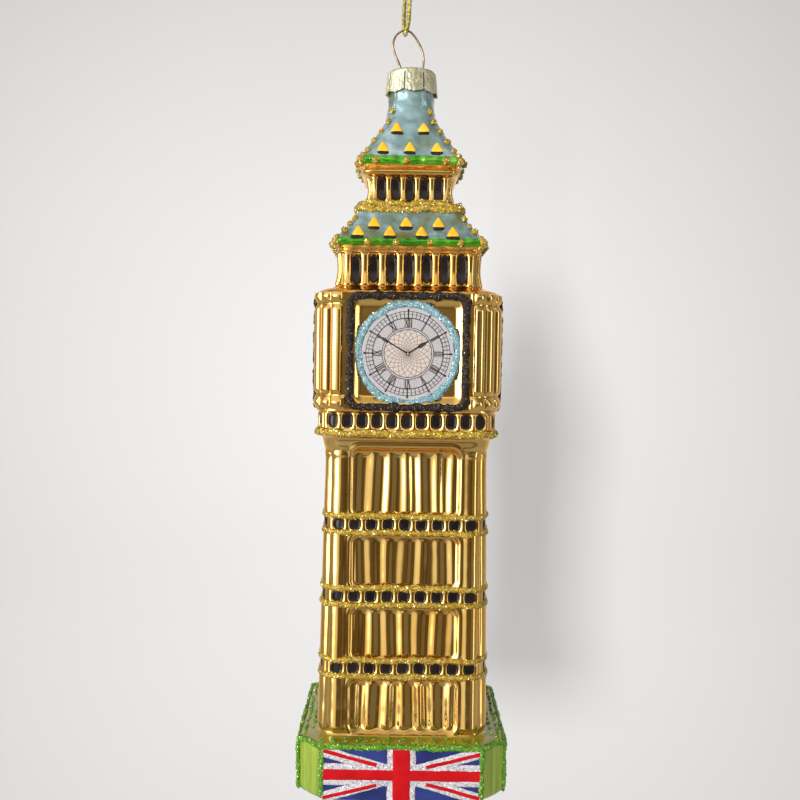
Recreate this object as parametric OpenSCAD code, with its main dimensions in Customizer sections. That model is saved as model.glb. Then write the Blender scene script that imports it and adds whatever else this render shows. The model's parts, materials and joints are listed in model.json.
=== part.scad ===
// Clock-tower glass ornament: a hollow blown-glass tower that hangs by a sprung wire bail
// and a metallic thread. The origin is the inside top of the thread loop, +Z up, and the
// flag and first dial face -Y.

/* [Hanging cord and bail] */
// Height of the hang point above the bail's crown
cord_rise = 45; // [40:1:55]
// Diameter of the metallic thread
cord_d = 1.0; // [0.6:0.1:1.2]
// Height of the bail's crown above the cap
bail_rise = 10.1; // [9:0.1:12]
// Diameter of the bail's wire
wire_d = 0.55; // [0.4:0.05:0.7]

/* [Cap] */
// Height of the cap
cap_h = 5.8; // [5:0.1:7]
// Diameter of the cap at its shoulder
cap_top_d = 11.8; // [11.7:0.1:12]
// Diameter of the cap's flared skirt
cap_skirt_d = 12.4; // [12.2:0.1:13]
// Thickness of the cap's sheet metal
cap_sheet = 0.3; // [0.2:0.05:0.4]

/* [Neck and roofs] */
// Outer diameter of the glass neck
neck_d = 10.9; // [10.5:0.1:11]
// Bore of the glass neck
neck_bore = 9.3; // [9:0.1:9.6]
// Length of the neck from its rim to the upper roof
neck_h = 9.0; // [8:0.5:10]
// Height of the upper roof's slope
upper_roof_h = 12.8; // [11:0.1:14]
// Half width of the upper eave
upper_eave_half = 12.2; // [11.5:0.1:13]
// Height of the lower roof's slope
lower_roof_h = 5.3; // [4.5:0.1:6]
// Half width of the lower eave
lower_eave_half = 17.6; // [17:0.1:18.5]
// Height of each rounded eave
eave_h = 2.5; // [2:0.1:3]

/* [Belfries] */
// Height of the upper belfry with its moulding
upper_belfry_h = 8.1; // [7:0.1:9]
// Half width of the upper belfry
upper_belfry_half = 10.0; // [9.5:0.1:10.5]
// Height of the glitter collar under the upper belfry
collar_h = 3.3; // [3:0.1:4]
// Height of the lower belfry with its moulding
lower_belfry_h = 8.9; // [8:0.1:10]
// Half width of the lower belfry
lower_belfry_half = 16.4; // [16:0.1:17]

/* [Clock stage] */
// Height of the clock stage with its shoulder
clock_h = 28.2; // [27.5:0.1:30]
// Half width of the clock stage
clock_half = 20.8; // [20.4:0.1:21.5]
// Corner cut of the clock stage
clock_cut = 5.5; // [4:0.5:6]
// Depth of the recess round each dial
recess_depth = 0.9; // [0.5:0.1:1.2]
// Radius of the printed dial
dial_r = 10.4; // [9.5:0.1:11]
// Width of the glitter rim round the dial
rim_w = 1.4; // [1:0.1:1.5]
// Outer width of the square glitter frame
frame_w = 27.6; // [27.2:0.1:28]
// Outer height of the square glitter frame
frame_h = 26.6; // [26.2:0.1:27]
// Line width of the square glitter frame
frame_line = 1.5; // [1:0.1:1.6]
// Height of the arcade, its glitter line and the cornice
arcade_h = 10.2; // [9:0.1:11]

/* [Shaft] */
// Height of the shaft
shaft_h = 64.3; // [60:0.1:70]
// Half width at the top of the shaft
shaft_top_half = 18.2; // [17.5:0.1:19]
// Half width at the foot of the shaft
shaft_foot_half = 19.1; // [18.5:0.1:20]
// Spacing of the window bands along the shaft
band_pitch = 16.5; // [15:0.1:17]
// Distance between the two glitter lines of a band
band_gap = 3.8; // [3.4:0.1:4.2]

/* [Base] */
// Height of the block base
base_h = 13.7; // [12:0.1:16]
// Half width across the block's flats
base_half = 23.6; // [22:0.1:25]
// Corner cut of the octagonal block
base_cut = 5.6; // [4:0.1:8]
// Width of each flag panel
flag_w = 34.8; // [30:0.1:34.8]
// Height of each flag panel
flag_h = 10.8; // [8:0.1:10.8]

/* [Glitter] */
// Diameter of the glitter beads on the roofs
bead_d = 1.8; // [1.2:0.1:2]
// Height of each line of cured glitter glue
line_h = 1.2; // [0.8:0.1:1.4]
// How far a glitter line stands out of the glass
line_proud = 0.8; // [0.4:0.1:1]

/* [Hidden] */
SIDES = ["front", "right", "back", "left"];
LINES = ["band_1_upper", "band_1_lower", "band_2_upper", "band_2_lower", "band_3_upper", "band_3_lower"];

embed = 0.15;          // how deep applied glue and enamel sit in the glass
glass_wall = 1.0;
wire_clearance = 0.15;
pane_t = 0.35;
arcade_cut = 4.8;
shaft_cut = 4.0;
cord_sides = 8;
wire_sides = 12;
leg_x = 2.6;           // half the spacing of the bail's legs where they pass the cap

// Heights, stacked downwards from the hang point
cap_top_z = -cord_rise - bail_rise;
rim_z = cap_top_z - cap_sheet - 0.1;
upper_roof_z = rim_z - neck_h;
upper_eave_z = upper_roof_z - upper_roof_h;
upper_belfry_z = upper_eave_z - eave_h;
collar_z = upper_belfry_z - upper_belfry_h;
lower_roof_z = collar_z - collar_h;
lower_eave_z = lower_roof_z - lower_roof_h;
lower_belfry_z = lower_eave_z - eave_h;
clock_z = lower_belfry_z - lower_belfry_h;
arcade_z = clock_z - clock_h;
shaft_z = arcade_z - arcade_h;
base_z = shaft_z - shaft_h;
bottom_z = base_z - base_h;
dial_z = clock_z - 1.4 - frame_h / 2 - 0.4;
recess_half_w = frame_w / 2 - frame_line;
recess_half_h = frame_h / 2 - frame_line;
arcade_line_z = arcade_z - 5.0;
band_top_z = shaft_z - 14.0;

// Route of the right-hand strand of the thread loop, from under the bail's crown to the hang
// point: offsets in X from the strand centre line, Y and Z. The left strand is its half turn.
crown_x = -1.6;
STRAND = [
    [0, 0, -45.9], [0.1, -0.8, -45.7], [0.3, -1.4, -45.0], [0.5, -1.6, -44.0],
    [0.6, -1.3, -42.5], [0.6, -0.7, -41.0], [0.6, -0.2, -39.0], [0.6, 0, -36.0],
    [0.6, 0, -30.0], [0.7, 0, -22.0], [1.1, 0, -14.0], [1.6, 0, -8.0],
    [1.9, 0, -4.0], [1.9, 0, -1.8], [1.4, 0, -0.2]];
LOOP_TOP = [0, 0, 0.5];

// Route of the bail's wire from one leg's end over the crown to the other: X and Z above the cap
BAIL = [
    [-4.1, -17.5], [-3.9, -13], [-3.2, -8], [-2.7, -5], [-2.6, -4], [-2.6, -2], [-2.6, 0],
    [-2.7, 0.9], [-3.2, 2.4], [-4.1, 4.4], [-4.6, 6.2], [-4.4, 7.9], [-3.6, 9.2],
    [-2.6, 9.9], [-1.6, 10.1], [-0.6, 9.8], [0.6, 8.6], [1.6, 7.1], [2.4, 5.4], [2.8, 3.8],
    [2.8, 2.2], [2.65, 0.9], [2.6, 0], [2.6, -2], [2.6, -4], [2.7, -5], [3.2, -8],
    [3.9, -13], [4.1, -17.5]];

// Outer surface of the glass: height, half width, corner cut, corner roundness (1 round,
// 0 chamfered) and depth of the recessed panel, from the top down
GLASS = [
    [upper_roof_z + 0.6, 5.4, 5.2, 1, 0],
    [upper_roof_z - 1.8, 5.7, 4.9, 1, 0],
    [upper_roof_z - 0.45 * upper_roof_h, 7.3, 3.6, 1, 0],
    [upper_roof_z - 0.75 * upper_roof_h, 9.5, 3.0, 1, 0],
    [upper_eave_z, upper_eave_half - 0.4, 2.8, 1, 0],
    [upper_eave_z - 0.5 * eave_h, upper_eave_half, 2.8, 1, 0],
    [upper_belfry_z, upper_eave_half - 1.1, 2.6, 1, 0],
    [upper_belfry_z - 1.1, upper_eave_half - 1.4, 2.4, 1, 0],
    [upper_belfry_z - 2.1, upper_belfry_half, 2.2, 1, 0],
    [upper_belfry_z - 5.0, upper_belfry_half - 0.4, 2.2, 1, 0],
    [collar_z, upper_belfry_half + 0.4, 2.4, 1, 0],
    [collar_z - 0.5, upper_belfry_half + 1.7, 2.6, 1, 0],
    [lower_roof_z, upper_belfry_half + 2.7, 3.0, 1, 0],
    [lower_roof_z - 0.6 * lower_roof_h, lower_eave_half - 2.6, 3.2, 1, 0],
    [lower_eave_z, lower_eave_half - 0.4, 3.4, 1, 0],
    [lower_eave_z - 0.5 * eave_h, lower_eave_half, 3.4, 1, 0],
    [lower_belfry_z, lower_eave_half - 0.7, 3.2, 1, 0],
    [lower_belfry_z - 1.1, lower_belfry_half + 0.3, 3.0, 1, 0],
    [lower_belfry_z - 5.0, lower_belfry_half - 0.4, 3.0, 1, 0],
    [clock_z, lower_belfry_half + 0.3, 3.0, 1, 0],
    [clock_z - 0.5, lower_belfry_half + 2.2, 3.6, 1, 0],
    [clock_z - 1.4, clock_half, clock_cut, 0.4, 0],
    [dial_z + 0.4 + recess_half_h, clock_half, clock_cut, 0.4, 0],
    [dial_z + 0.4 + recess_half_h - recess_depth, clock_half, clock_cut, 0.4, recess_depth],
    [dial_z + 0.4 - recess_half_h + recess_depth, clock_half, clock_cut, 0.4, recess_depth],
    [dial_z + 0.4 - recess_half_h, clock_half, clock_cut, 0.4, 0],
    [arcade_z, clock_half, clock_cut, 0.4, 0],
    [arcade_z - 0.4, clock_half - 0.8, arcade_cut, 1, 0],
    [arcade_line_z + 0.8, clock_half - 0.8, arcade_cut, 1, 0],
    [arcade_line_z, clock_half - 0.5, arcade_cut, 1, 0],
    [arcade_line_z - 0.8, clock_half - 0.9, arcade_cut, 1, 0],
    [shaft_z + 1.6, clock_half - 1.5, 4.2, 1, 0],
    [shaft_z, shaft_top_half, shaft_cut, 1, 0],
    [shaft_z - 2.0, shaft_top_half, shaft_cut, 1, 0],
    [shaft_z - 3.0, shaft_top_half, shaft_cut, 1, 0.7],
    [base_z + 1.4, shaft_foot_half, shaft_cut, 1, 0.7],
    [base_z + 0.4, shaft_foot_half + 0.2, shaft_cut, 1, 0],
    [base_z, shaft_foot_half + 1.2, 4.4, 0.6, 0],
    [base_z - 0.2, base_half - 0.6, base_cut, 0, 0],
    [base_z - 0.8, base_half, base_cut, 0, 0],
    [bottom_z + 1.4, base_half, base_cut, 0, 0],
    [bottom_z + 0.4, base_half - 0.5, base_cut, 0.3, 0],
    [bottom_z, base_half - 1.6, base_cut, 0.5, 0]];
// Rows of GLASS that the hollow inside follows, one wall thickness further in
HOLLOW = [1, 2, 3, 4, 8, 10, 12, 14, 17, 18, 19, 21, 26, 32, 35, 37, 38, 40, 41];

function reversed(list) = [for (i = [len(list) - 1:-1:0]) list[i]];
function quarter_turn(p, n) = n == 0 ? p : quarter_turn([-p[1], p[0]], n - 1);
function unit(v) = v / norm(v);

// ---- outlines of the square stages ----

corner_steps = 3;
panel_share = 0.66;

function corner_point(half, cut, round, step) =
    let (a = 90 * step / corner_steps, s = step / corner_steps,
         arc = [half - cut + cut * cos(a), half - cut + cut * sin(a)],
         flat = [half - cut * s, half - cut + cut * s])
    round * arc + (1 - round) * flat;

function panel_half(half, cut) = min(recess_half_w, panel_share * half, half - cut - 1.2);

function side_outline(half, cut, round, depth) =
    let (p = max(0.5, panel_half(half, cut)), q = min(p + max(depth, 0.3), half - cut - 0.05))
    concat(
        half - cut > 1
            ? [[half, -q], [half - depth, -p], [half - depth, p], [half, q]]
            : [for (k = [-3, -1, 1, 3]) [half, k * (half - cut) / 4]],
        [for (step = [0:corner_steps]) corner_point(half, cut, round, step)]);

function outline(half, cut, round, depth) =
    [for (n = [0:3]) for (p = side_outline(half, cut, round, depth)) quarter_turn(p, n)];

// ---- swept and lofted solids ----

// A closed solid through rings that all have the same number of points, lowest ring first
module loft(rings) {
    count = len(rings[0]);
    rows = len(rings);
    sides = [for (r = [0:rows - 2]) for (i = [0:count - 1])
        let (a = r * count + i, b = r * count + (i + 1) % count)
        each [[a, b + count, b], [a, a + count, b + count]]];
    ends = [[for (i = [0:count - 1]) i],
            [for (i = [count - 1:-1:0]) (rows - 1) * count + i]];
    polyhedron(points = [for (ring = rings) each ring], faces = concat(sides, ends));
}

function ring_at(row, shrink) =
    [for (p = outline(row[1] - shrink, max(row[2] - 0.4 * shrink, 0.8), row[3], shrink > 0 ? 0 : row[4]))
        [p[0], p[1], row[0]]];

// A round solid of diameter d swept along a path, closed at both ends
module swept_wire(path, d, sides) {
    last = len(path) - 1;
    tangent = [for (i = [0:last]) unit(path[min(i + 1, last)] - path[max(i - 1, 0)])];
    rings = [for (i = [0:last])
        let (side = unit(cross(tangent[i], abs(tangent[i][1]) < 0.9 ? [0, 1, 0] : [1, 0, 0])),
             up = cross(side, tangent[i]))
        [for (k = [0:sides - 1])
            path[i] + d / 2 * (cos(360 * k / sides) * side + sin(360 * k / sides) * up)]];
    loft(rings);
}

// Catmull-Rom points between p1 and p2
function between(p0, p1, p2, p3, t) =
    0.5 * (2 * p1 + (p2 - p0) * t + (2 * p0 - 5 * p1 + 4 * p2 - p3) * t * t
           + (3 * p1 - p0 - 3 * p2 + p3) * t * t * t);
function smooth_path(points, steps) =
    let (last = len(points) - 1)
    concat([for (i = [0:last - 1]) for (s = [0:steps - 1])
        between(points[max(i - 1, 0)], points[i], points[i + 1], points[min(i + 2, last)], s / steps)],
        [points[last]]);

function strand_point(p, turn) = [crown_x * p[2] / -cord_rise + turn * p[0], turn * p[1], p[2]];
CORD_ROUTE = concat(
    [for (p = STRAND) strand_point(p, 1)],
    [LOOP_TOP],
    [for (p = reversed(STRAND)) strand_point(p, -1)]);

// ---- cord, bail and cap ----

module hanging_cord() {
    color("darkgoldenrod") swept_wire(smooth_path(CORD_ROUTE, 2), cord_d, cord_sides);
}

module cord_knot() {
    color("darkgoldenrod") union() {
        translate([0, 0, 1.7]) sphere(r = 1.5, $fn = 32);
        for (lean = [-24, 18]) {
            translate([0, 0, 2.2]) rotate([0, lean, 0]) cylinder(r = cord_d / 2, h = 6, $fn = 24);
        }
    }
}

module wire_bail() {
    color("peru") swept_wire(
        smooth_path([for (p = BAIL) [p[0], 0, cap_top_z + p[1]]], 2), wire_d, wire_sides);
}

module ornament_cap() {
    shoulder = 0.9;
    slits = 8;
    top_r = cap_top_d / 2;
    skirt_r = cap_skirt_d / 2;
    color("palegoldenrod") translate([0, 0, cap_top_z]) difference() {
        rotate_extrude($fn = 64) polygon([
            [0, 0], [top_r - shoulder, 0], [top_r - 0.26 * shoulder, -0.26 * shoulder],
            [top_r, -shoulder], [skirt_r, -cap_h], [skirt_r - cap_sheet, -cap_h],
            [top_r - cap_sheet, -shoulder], [top_r - cap_sheet, -cap_sheet], [0, -cap_sheet]]);
        for (side = [-1, 1]) {
            translate([side * leg_x, 0, -1]) cylinder(r = wire_d / 2 + wire_clearance, h = 2, $fn = 32);
        }
        for (i = [0:slits - 1]) rotate([0, 0, 360 * (i + 0.5) / slits]) {
            translate([top_r - 1, -0.15, -cap_h - 1]) cube([3, 0.3, cap_h - 0.6]);
            translate([top_r - 1, 0, -cap_h - 0.3]) rotate([0, 90, 0]) cylinder(r = 0.9, h = 3, $fn = 24);
        }
    }
}

// ---- glass ----

module glass_body() {
    color("goldenrod") difference() {
        union() {
            loft([for (row = reversed(GLASS)) ring_at(row, 0)]);
            translate([0, 0, upper_roof_z - 2]) cylinder(d = neck_d, h = neck_h + 2, $fn = 64);
        }
        loft([for (i = reversed(HOLLOW)) ring_at(GLASS[i], glass_wall)]);
        translate([0, 0, upper_roof_z - 6]) cylinder(d = neck_bore, h = neck_h + 7, $fn = 64);
    }
}

// ---- pieces that repeat on the four sides ----

module on_side(n) {
    rotate([0, 0, 90 * n]) children();
}

// Draws a flat shape on the plane y = -distance, facing -Y, t thick
module on_face(distance, t) {
    translate([0, -distance, 0]) rotate([90, 0, 0]) linear_extrude(height = t) children();
}

function arc_points(cx, cy, r, from, steps) =
    [for (i = [0:steps]) [cx + r * cos(from + 90 * i / steps), cy + r * sin(from + 90 * i / steps)]];
function rounded_rect(w, h, r, steps = 4) = concat(
    arc_points(w / 2 - r, h / 2 - r, r, 0, steps), arc_points(r - w / 2, h / 2 - r, r, 90, steps),
    arc_points(r - w / 2, r - h / 2, r, 180, steps), arc_points(w / 2 - r, r - h / 2, r, 270, steps));

face_y = clock_half - recess_depth;

module clock_dial(n) {
    color("white") on_side(n) translate([0, -face_y, dial_z]) rotate([90, 0, 0])
        cylinder(r = dial_r, h = 0.6, $fn = 96);
}

module dial_rim(n) {
    color("cadetblue") on_side(n) translate([0, -face_y, dial_z]) rotate([90, 0, 0])
        rotate_extrude($fn = 96) translate([dial_r + 0.05 + rim_w / 2, 0]) intersection() {
            circle(d = rim_w, $fn = 32);
            translate([-rim_w, 0]) square([2 * rim_w, rim_w]);
        }
}

module dial_frame(n) {
    color("#2b2013") on_side(n) translate([0, 0, dial_z + 0.4]) on_face(clock_half - embed, 1.0 + embed)
        difference() {
            polygon(rounded_rect(frame_w, frame_h, 2.4));
            polygon(rounded_rect(2 * recess_half_w + 0.1, 2 * recess_half_h + 0.1, 1.0));
        }
}

module flag_panel(n) {
    color("crimson") on_side(n) translate([0, 0, (base_z + bottom_z) / 2])
        on_face(base_half - embed, 0.5 + embed) polygon(rounded_rect(flag_w, flag_h, 0.6));
}

// ---- glitter lines that run right round ----

function flat_ring(half, cut, round) = outline(half, cut, round, 0);

module glitter_band(z, half, cut, round, h, proud) {
    translate([0, 0, z - h / 2]) linear_extrude(height = h) difference() {
        polygon(flat_ring(half + proud, cut + 0.4 * proud, round));
        polygon(flat_ring(half - embed, cut, round));
    }
}

function shaft_half_at(z) =
    shaft_top_half + (shaft_foot_half - shaft_top_half) * (shaft_z - z) / shaft_h;
function band_z(i) = band_top_z - floor(i / 2) * band_pitch - (i % 2) * band_gap + band_gap / 2 - 1.7;

module glitter_line(i) {
    z = band_z(i);
    color("goldenrod") glitter_band(z, shaft_half_at(z), shaft_cut, 1, line_h, line_proud);
}

module arcade_glitter_line() {
    color("goldenrod")
        glitter_band(arcade_line_z, clock_half - 0.8, arcade_cut, 1, line_h, line_proud);
}

module roof_collar_glitter() {
    color("goldenrod")
        glitter_band(collar_z - 1.9, upper_belfry_half + 2.3, 3.0, 1, collar_h - 0.8, line_proud);
}

module base_glitter_edging() {
    color("seagreen") {
        glitter_band(base_z - 0.9, base_half, base_cut, 0, 0.9, 0.5);
        for (n = [0:3]) on_side(n) for (side = [-1, 1]) {
            translate([side * (base_half - base_cut), -base_half, bottom_z + 1.6])
                cylinder(r = 0.55, h = base_h - 3.1, $fn = 24);
        }
    }
}

// ---- beads on the roofs ----

// Beads down the four hips and along the four eaves of one roof
module roof_beads(top_z, top_half, top_cut, low_z, low_half, low_cut, per_hip, eave_z, eave_half, per_eave) {
    color("goldenrod") for (n = [0:3]) on_side(n) {
        for (i = [0:per_hip - 1]) {
            s = (i + 0.5) / per_hip;
            reach = (1 - s) * (top_half - 0.29 * top_cut) + s * (low_half - 0.29 * low_cut);
            translate([reach, -reach, (1 - s) * top_z + s * low_z]) sphere(d = bead_d, $fn = 24);
        }
        for (i = [0:per_eave - 1]) {
            x = (i - (per_eave - 1) / 2) * 2 * (eave_half - low_cut) / per_eave;
            translate([x, -eave_half, eave_z]) sphere(d = bead_d, $fn = 24);
        }
        corner = eave_half - 0.29 * low_cut;
        translate([corner, -corner, eave_z]) sphere(d = 1.3 * bead_d, $fn = 24);
        translate([corner - 0.2, 0.2 - corner, eave_z - 1.6]) sphere(d = bead_d, $fn = 24);
    }
}

module upper_roof_beads() {
    roof_beads(upper_roof_z - 1.5, 5.9, 4.5, upper_eave_z, upper_eave_half - 0.2, 2.8, 4,
        upper_eave_z - 1.4, upper_eave_half, 3);
}

module lower_roof_beads() {
    roof_beads(lower_roof_z - 0.6, upper_belfry_half + 3.2, 3.0, lower_eave_z, lower_eave_half, 3.4, 2,
        lower_eave_z - 1.4, lower_eave_half, 4);
}

// ---- dormers ----

gable_w = 3.1;
gable_h = 2.4;
opening_h = 0.7;

// Children drawn upright on a roof slope that passes (half_low, z_low) and (half_high, z_high)
module on_slope(x, z, half_low, z_low, half_high, z_high) {
    run = (z - z_low) / (z_high - z_low);
    lean = atan2(half_low - half_high, z_high - z_low);
    translate([x, -(half_low + (half_high - half_low) * run), z]) rotate([90 - lean, 0, 0])
        translate([0, 0, -embed]) linear_extrude(height = pane_t + embed) children();
}

function row_x(count, pitch) = [for (i = [0:count - 1]) (i - (count - 1) / 2) * pitch];

module gable() {
    polygon([[-gable_w / 2, 0], [gable_w / 2, 0], [0.3, gable_h], [-0.3, gable_h]]);
}

module opening() {
    translate([-gable_w / 2, -opening_h - 0.05]) square([gable_w, opening_h]);
}

module upper_dormers() {
    for (n = [0:3]) on_side(n) {
        for (x = row_x(2, 6.4)) on_slope(x, upper_roof_z - 7.0, 9.5,
            upper_roof_z - 0.75 * upper_roof_h, 7.3, upper_roof_z - 0.45 * upper_roof_h) children();
        for (x = row_x(3, 6.4)) on_slope(x, upper_eave_z + 1.3, upper_eave_half - 0.4,
            upper_eave_z, 9.5, upper_roof_z - 0.75 * upper_roof_h) children();
    }
}

module lower_dormers() {
    for (n = [0:3]) on_side(n) {
        for (x = row_x(3, 7.6)) on_slope(x, lower_roof_z - 2.7, lower_eave_half - 2.6,
            lower_roof_z - 0.6 * lower_roof_h, upper_belfry_half + 2.7, lower_roof_z) children();
        for (x = row_x(4, 7.4)) on_slope(x, lower_eave_z + 1.2, lower_eave_half - 0.4,
            lower_eave_z, lower_eave_half - 2.6, lower_roof_z - 0.6 * lower_roof_h) children();
    }
}

module upper_dormer_gables() {
    color("gold") upper_dormers() gable();
}

module upper_dormer_openings() {
    color("#1c1712") upper_dormers() opening();
}

module lower_dormer_gables() {
    color("gold") lower_dormers() gable();
}

module lower_dormer_openings() {
    color("#1c1712") lower_dormers() opening();
}

// ---- windows ----

// Moves children to the surface of a rounded outline, x along it from the middle of a side
module on_outline(x, half, cut) {
    flat = half - cut;
    angle = max(0, abs(x) - flat) / cut * 180 / PI;
    side = sign(x);
    translate([side * (min(abs(x), flat) + cut * sin(angle)), -flat - cut * cos(angle), 0])
        rotate([0, 0, side * angle]) children();
}

// A row of upright panes with round ends on each side, which may run on round the corners
module pane_row(count, pitch, w, h, z, half, cut) {
    for (n = [0:3]) on_side(n) for (x = row_x(count, pitch)) {
        on_outline(x, half, cut) translate([0, 0, z]) on_face(-embed, pane_t + embed)
            polygon(rounded_rect(w, h, 0.45 * min(w, h), 2));
    }
}

module upper_belfry_windows() {
    color("#14110e")
        pane_row(5, 3.34, 2.3, 5.4, collar_z + 3.1, upper_belfry_half - 0.1, 2.2);
}

module lower_belfry_windows() {
    color("#14110e")
        pane_row(7, 4.04, 2.4, 7.0, clock_z + 4.0, lower_belfry_half - 0.1, 3.0);
}

module arcade_windows() {
    color("#14110e") 
        pane_row(11, 3.35, 2.0, 2.9, arcade_z - 2.2, clock_half - 0.8, arcade_cut);
}

module shaft_windows() {
    color("#14110e") for (band = [0:2]) {
        z = (band_z(2 * band) + band_z(2 * band + 1)) / 2;
        pane_row(9, 3.79, 2.5, 2.2, z, shaft_half_at(z), shaft_cut);
    }
}

hanging_cord();
cord_knot();
wire_bail();
ornament_cap();
glass_body();
upper_roof_beads();
lower_roof_beads();
roof_collar_glitter();
upper_dormer_gables();
upper_dormer_openings();
lower_dormer_gables();
lower_dormer_openings();
upper_belfry_windows();
lower_belfry_windows();
arcade_windows();
shaft_windows();
arcade_glitter_line();
base_glitter_edging();
for (n = [0:3]) {
    clock_dial(n);
    dial_rim(n);
    dial_frame(n);
    flag_panel(n);
}
for (i = [0:len(LINES) - 1]) {
    glitter_line(i);
}
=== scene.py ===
"""A hollow blown-glass clock-tower ornament, hung by a sprung wire bail and a metallic thread.

Lengths are in millimetres in the ornament's own frame (origin at the inside top of the thread
loop, +Z up, first dial facing -Y) and become metres where a mesh is made.
"""
import json
import math

import bpy
import numpy as np
from mathutils import Matrix, Vector


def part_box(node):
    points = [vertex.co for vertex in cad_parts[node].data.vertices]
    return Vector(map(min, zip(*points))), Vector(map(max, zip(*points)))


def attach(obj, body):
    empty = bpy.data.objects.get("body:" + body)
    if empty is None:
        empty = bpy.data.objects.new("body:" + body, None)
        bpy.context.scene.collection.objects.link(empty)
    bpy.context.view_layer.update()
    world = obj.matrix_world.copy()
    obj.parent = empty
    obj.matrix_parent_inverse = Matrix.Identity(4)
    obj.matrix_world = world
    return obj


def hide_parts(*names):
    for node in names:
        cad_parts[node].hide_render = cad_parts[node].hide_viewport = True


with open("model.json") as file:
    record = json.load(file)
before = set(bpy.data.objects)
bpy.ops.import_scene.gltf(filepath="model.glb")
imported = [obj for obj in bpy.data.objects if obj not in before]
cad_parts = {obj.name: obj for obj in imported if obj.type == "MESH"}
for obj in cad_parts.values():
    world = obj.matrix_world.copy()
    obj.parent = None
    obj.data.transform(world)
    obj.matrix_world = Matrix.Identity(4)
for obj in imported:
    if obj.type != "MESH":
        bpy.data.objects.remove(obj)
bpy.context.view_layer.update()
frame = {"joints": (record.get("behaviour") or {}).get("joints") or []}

MM = 0.001
SIDES = ("front", "right", "back", "left")
rng = np.random.default_rng(7)


def low(node):
    return [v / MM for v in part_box(node)[0]]


def high(node):
    return [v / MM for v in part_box(node)[1]]


def span(node, axis):
    return high(node)[axis] - low(node)[axis]


def middle_z(node):
    return (low(node)[2] + high(node)[2]) / 2


# ---- heights and half widths, read from the frame ----

CROWN_Z = next(j["pos_m"][2] for j in frame["joints"] if j["name"] == "bail_swing") / MM
CAP_TOP = high("ornament_cap")[2]
RIM = high("glass_body")[2]
BOTTOM = low("glass_body")[2]
DIAL_Z = middle_z("clock_dial_front")
FRAME_Z = middle_z("dial_frame_front")
FRAME_W = span("dial_frame_front", 0)
FRAME_H = span("dial_frame_front", 2)
DIAL_R = span("clock_dial_front", 0) / 2
RIM_R = span("dial_rim_front", 0) / 2
FACE_Y = -high("clock_dial_front")[1]
ARCADE_LINE = middle_z("arcade_glitter_line")
BASE_HALF = high("glass_body")[0]
LINES = [f"band_{band}_{edge}" for band in (1, 2, 3) for edge in ("upper", "lower")]
LINE_Z = [middle_z("glitter_line_" + line) for line in LINES]


ROOF_1 = RIM - 9.0          # foot of the neck
EAVE_1 = ROOF_1 - 12.8      # top of the upper eave
BELFRY_1 = EAVE_1 - 2.5
COLLAR = BELFRY_1 - 8.1
ROOF_2 = COLLAR - 3.3
EAVE_2 = ROOF_2 - 5.3
BELFRY_2 = EAVE_2 - 2.5
CLOCK = BELFRY_2 - 8.9      # shoulder above the clock stage
ARCADE = CLOCK - 28.2
SHAFT = ARCADE - 10.2
BASE = BOTTOM + 13.7

EAVE_1_HALF = 12.2
EAVE_2_HALF = 17.6
BELFRY_1_HALF = 10.0
BELFRY_2_HALF = 16.4
CLOCK_HALF = 20.8
SHAFT_HALF = 18.2
FOOT_HALF = 19.1
BASE_CUT = 5.6


# ---- small maths ----

def smooth(a, b, x):
    """0 at a, 1 at b, eased in between."""
    t = np.clip((x - a) / (b - a), 0, 1)
    return t * t * (3 - 2 * t)


def turns(count):
    """Angles evenly round a circle."""
    return np.linspace(0, 2 * math.pi, count, endpoint=False)


def run_of(path):
    """Distance along a line at each of its points."""
    return np.concatenate([[0], np.cumsum(np.linalg.norm(np.diff(path, axis=0), axis=1))])


def unit(v):
    """Rows of v at length 1."""
    return v / np.maximum(np.linalg.norm(v, axis=1, keepdims=True), 1e-9)


def between(z, top, bottom, soft):
    """1 between the two heights, easing to 0 over soft at each end."""
    return smooth(top, top - soft, z) * smooth(bottom, bottom + soft, z)


def dome(u):
    return np.sqrt(np.maximum(0, 1 - u * u))


def eased(t, y, q):
    """Monotone cubic interpolation of y(t) at q."""
    t, y = np.asarray(t, float), np.asarray(y, float)
    step = np.diff(t)
    slope = np.diff(y) / step
    m = np.zeros(len(t))
    m[0], m[-1] = slope[0], slope[-1]
    same = slope[:-1] * slope[1:] > 0
    both = np.where(same, slope[:-1] + slope[1:], 1)
    m[1:-1] = np.where(same, 2 * slope[:-1] * slope[1:] / both, 0)
    i = np.clip(np.searchsorted(t, q) - 1, 0, len(t) - 2)
    s = (q - t[i]) / step[i]
    h00 = (1 + 2 * s) * (1 - s) ** 2
    h10 = s * (1 - s) ** 2
    h01 = s * s * (3 - 2 * s)
    h11 = s * s * (s - 1)
    return h00 * y[i] + h10 * step[i] * m[i] + h01 * y[i + 1] + h11 * step[i] * m[i + 1]


def wave_noise(p, scale, seed):
    """Smooth noise from a few sines, about -1 to 1, for points p of shape (n, 3)."""
    r = np.random.default_rng(seed)
    total = np.zeros(len(p))
    for _ in range(7):
        direction = r.normal(size=3)
        direction *= r.uniform(0.6, 1.5) / (np.linalg.norm(direction) * scale)
        total += np.sin(p @ direction * 2 * math.pi + r.uniform(0, 6.3))
    return total / 3.5


# ---- the glass's outline: height, half width, corner cut, corner roundness ----

def key_rows(z, half, *rows):
    """Rows given by their distance from a height and a half width, round-cornered unless they say."""
    return [(z + row[0], half + row[1], row[2], row[3] if len(row) > 3 else 1) for row in rows]


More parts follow.
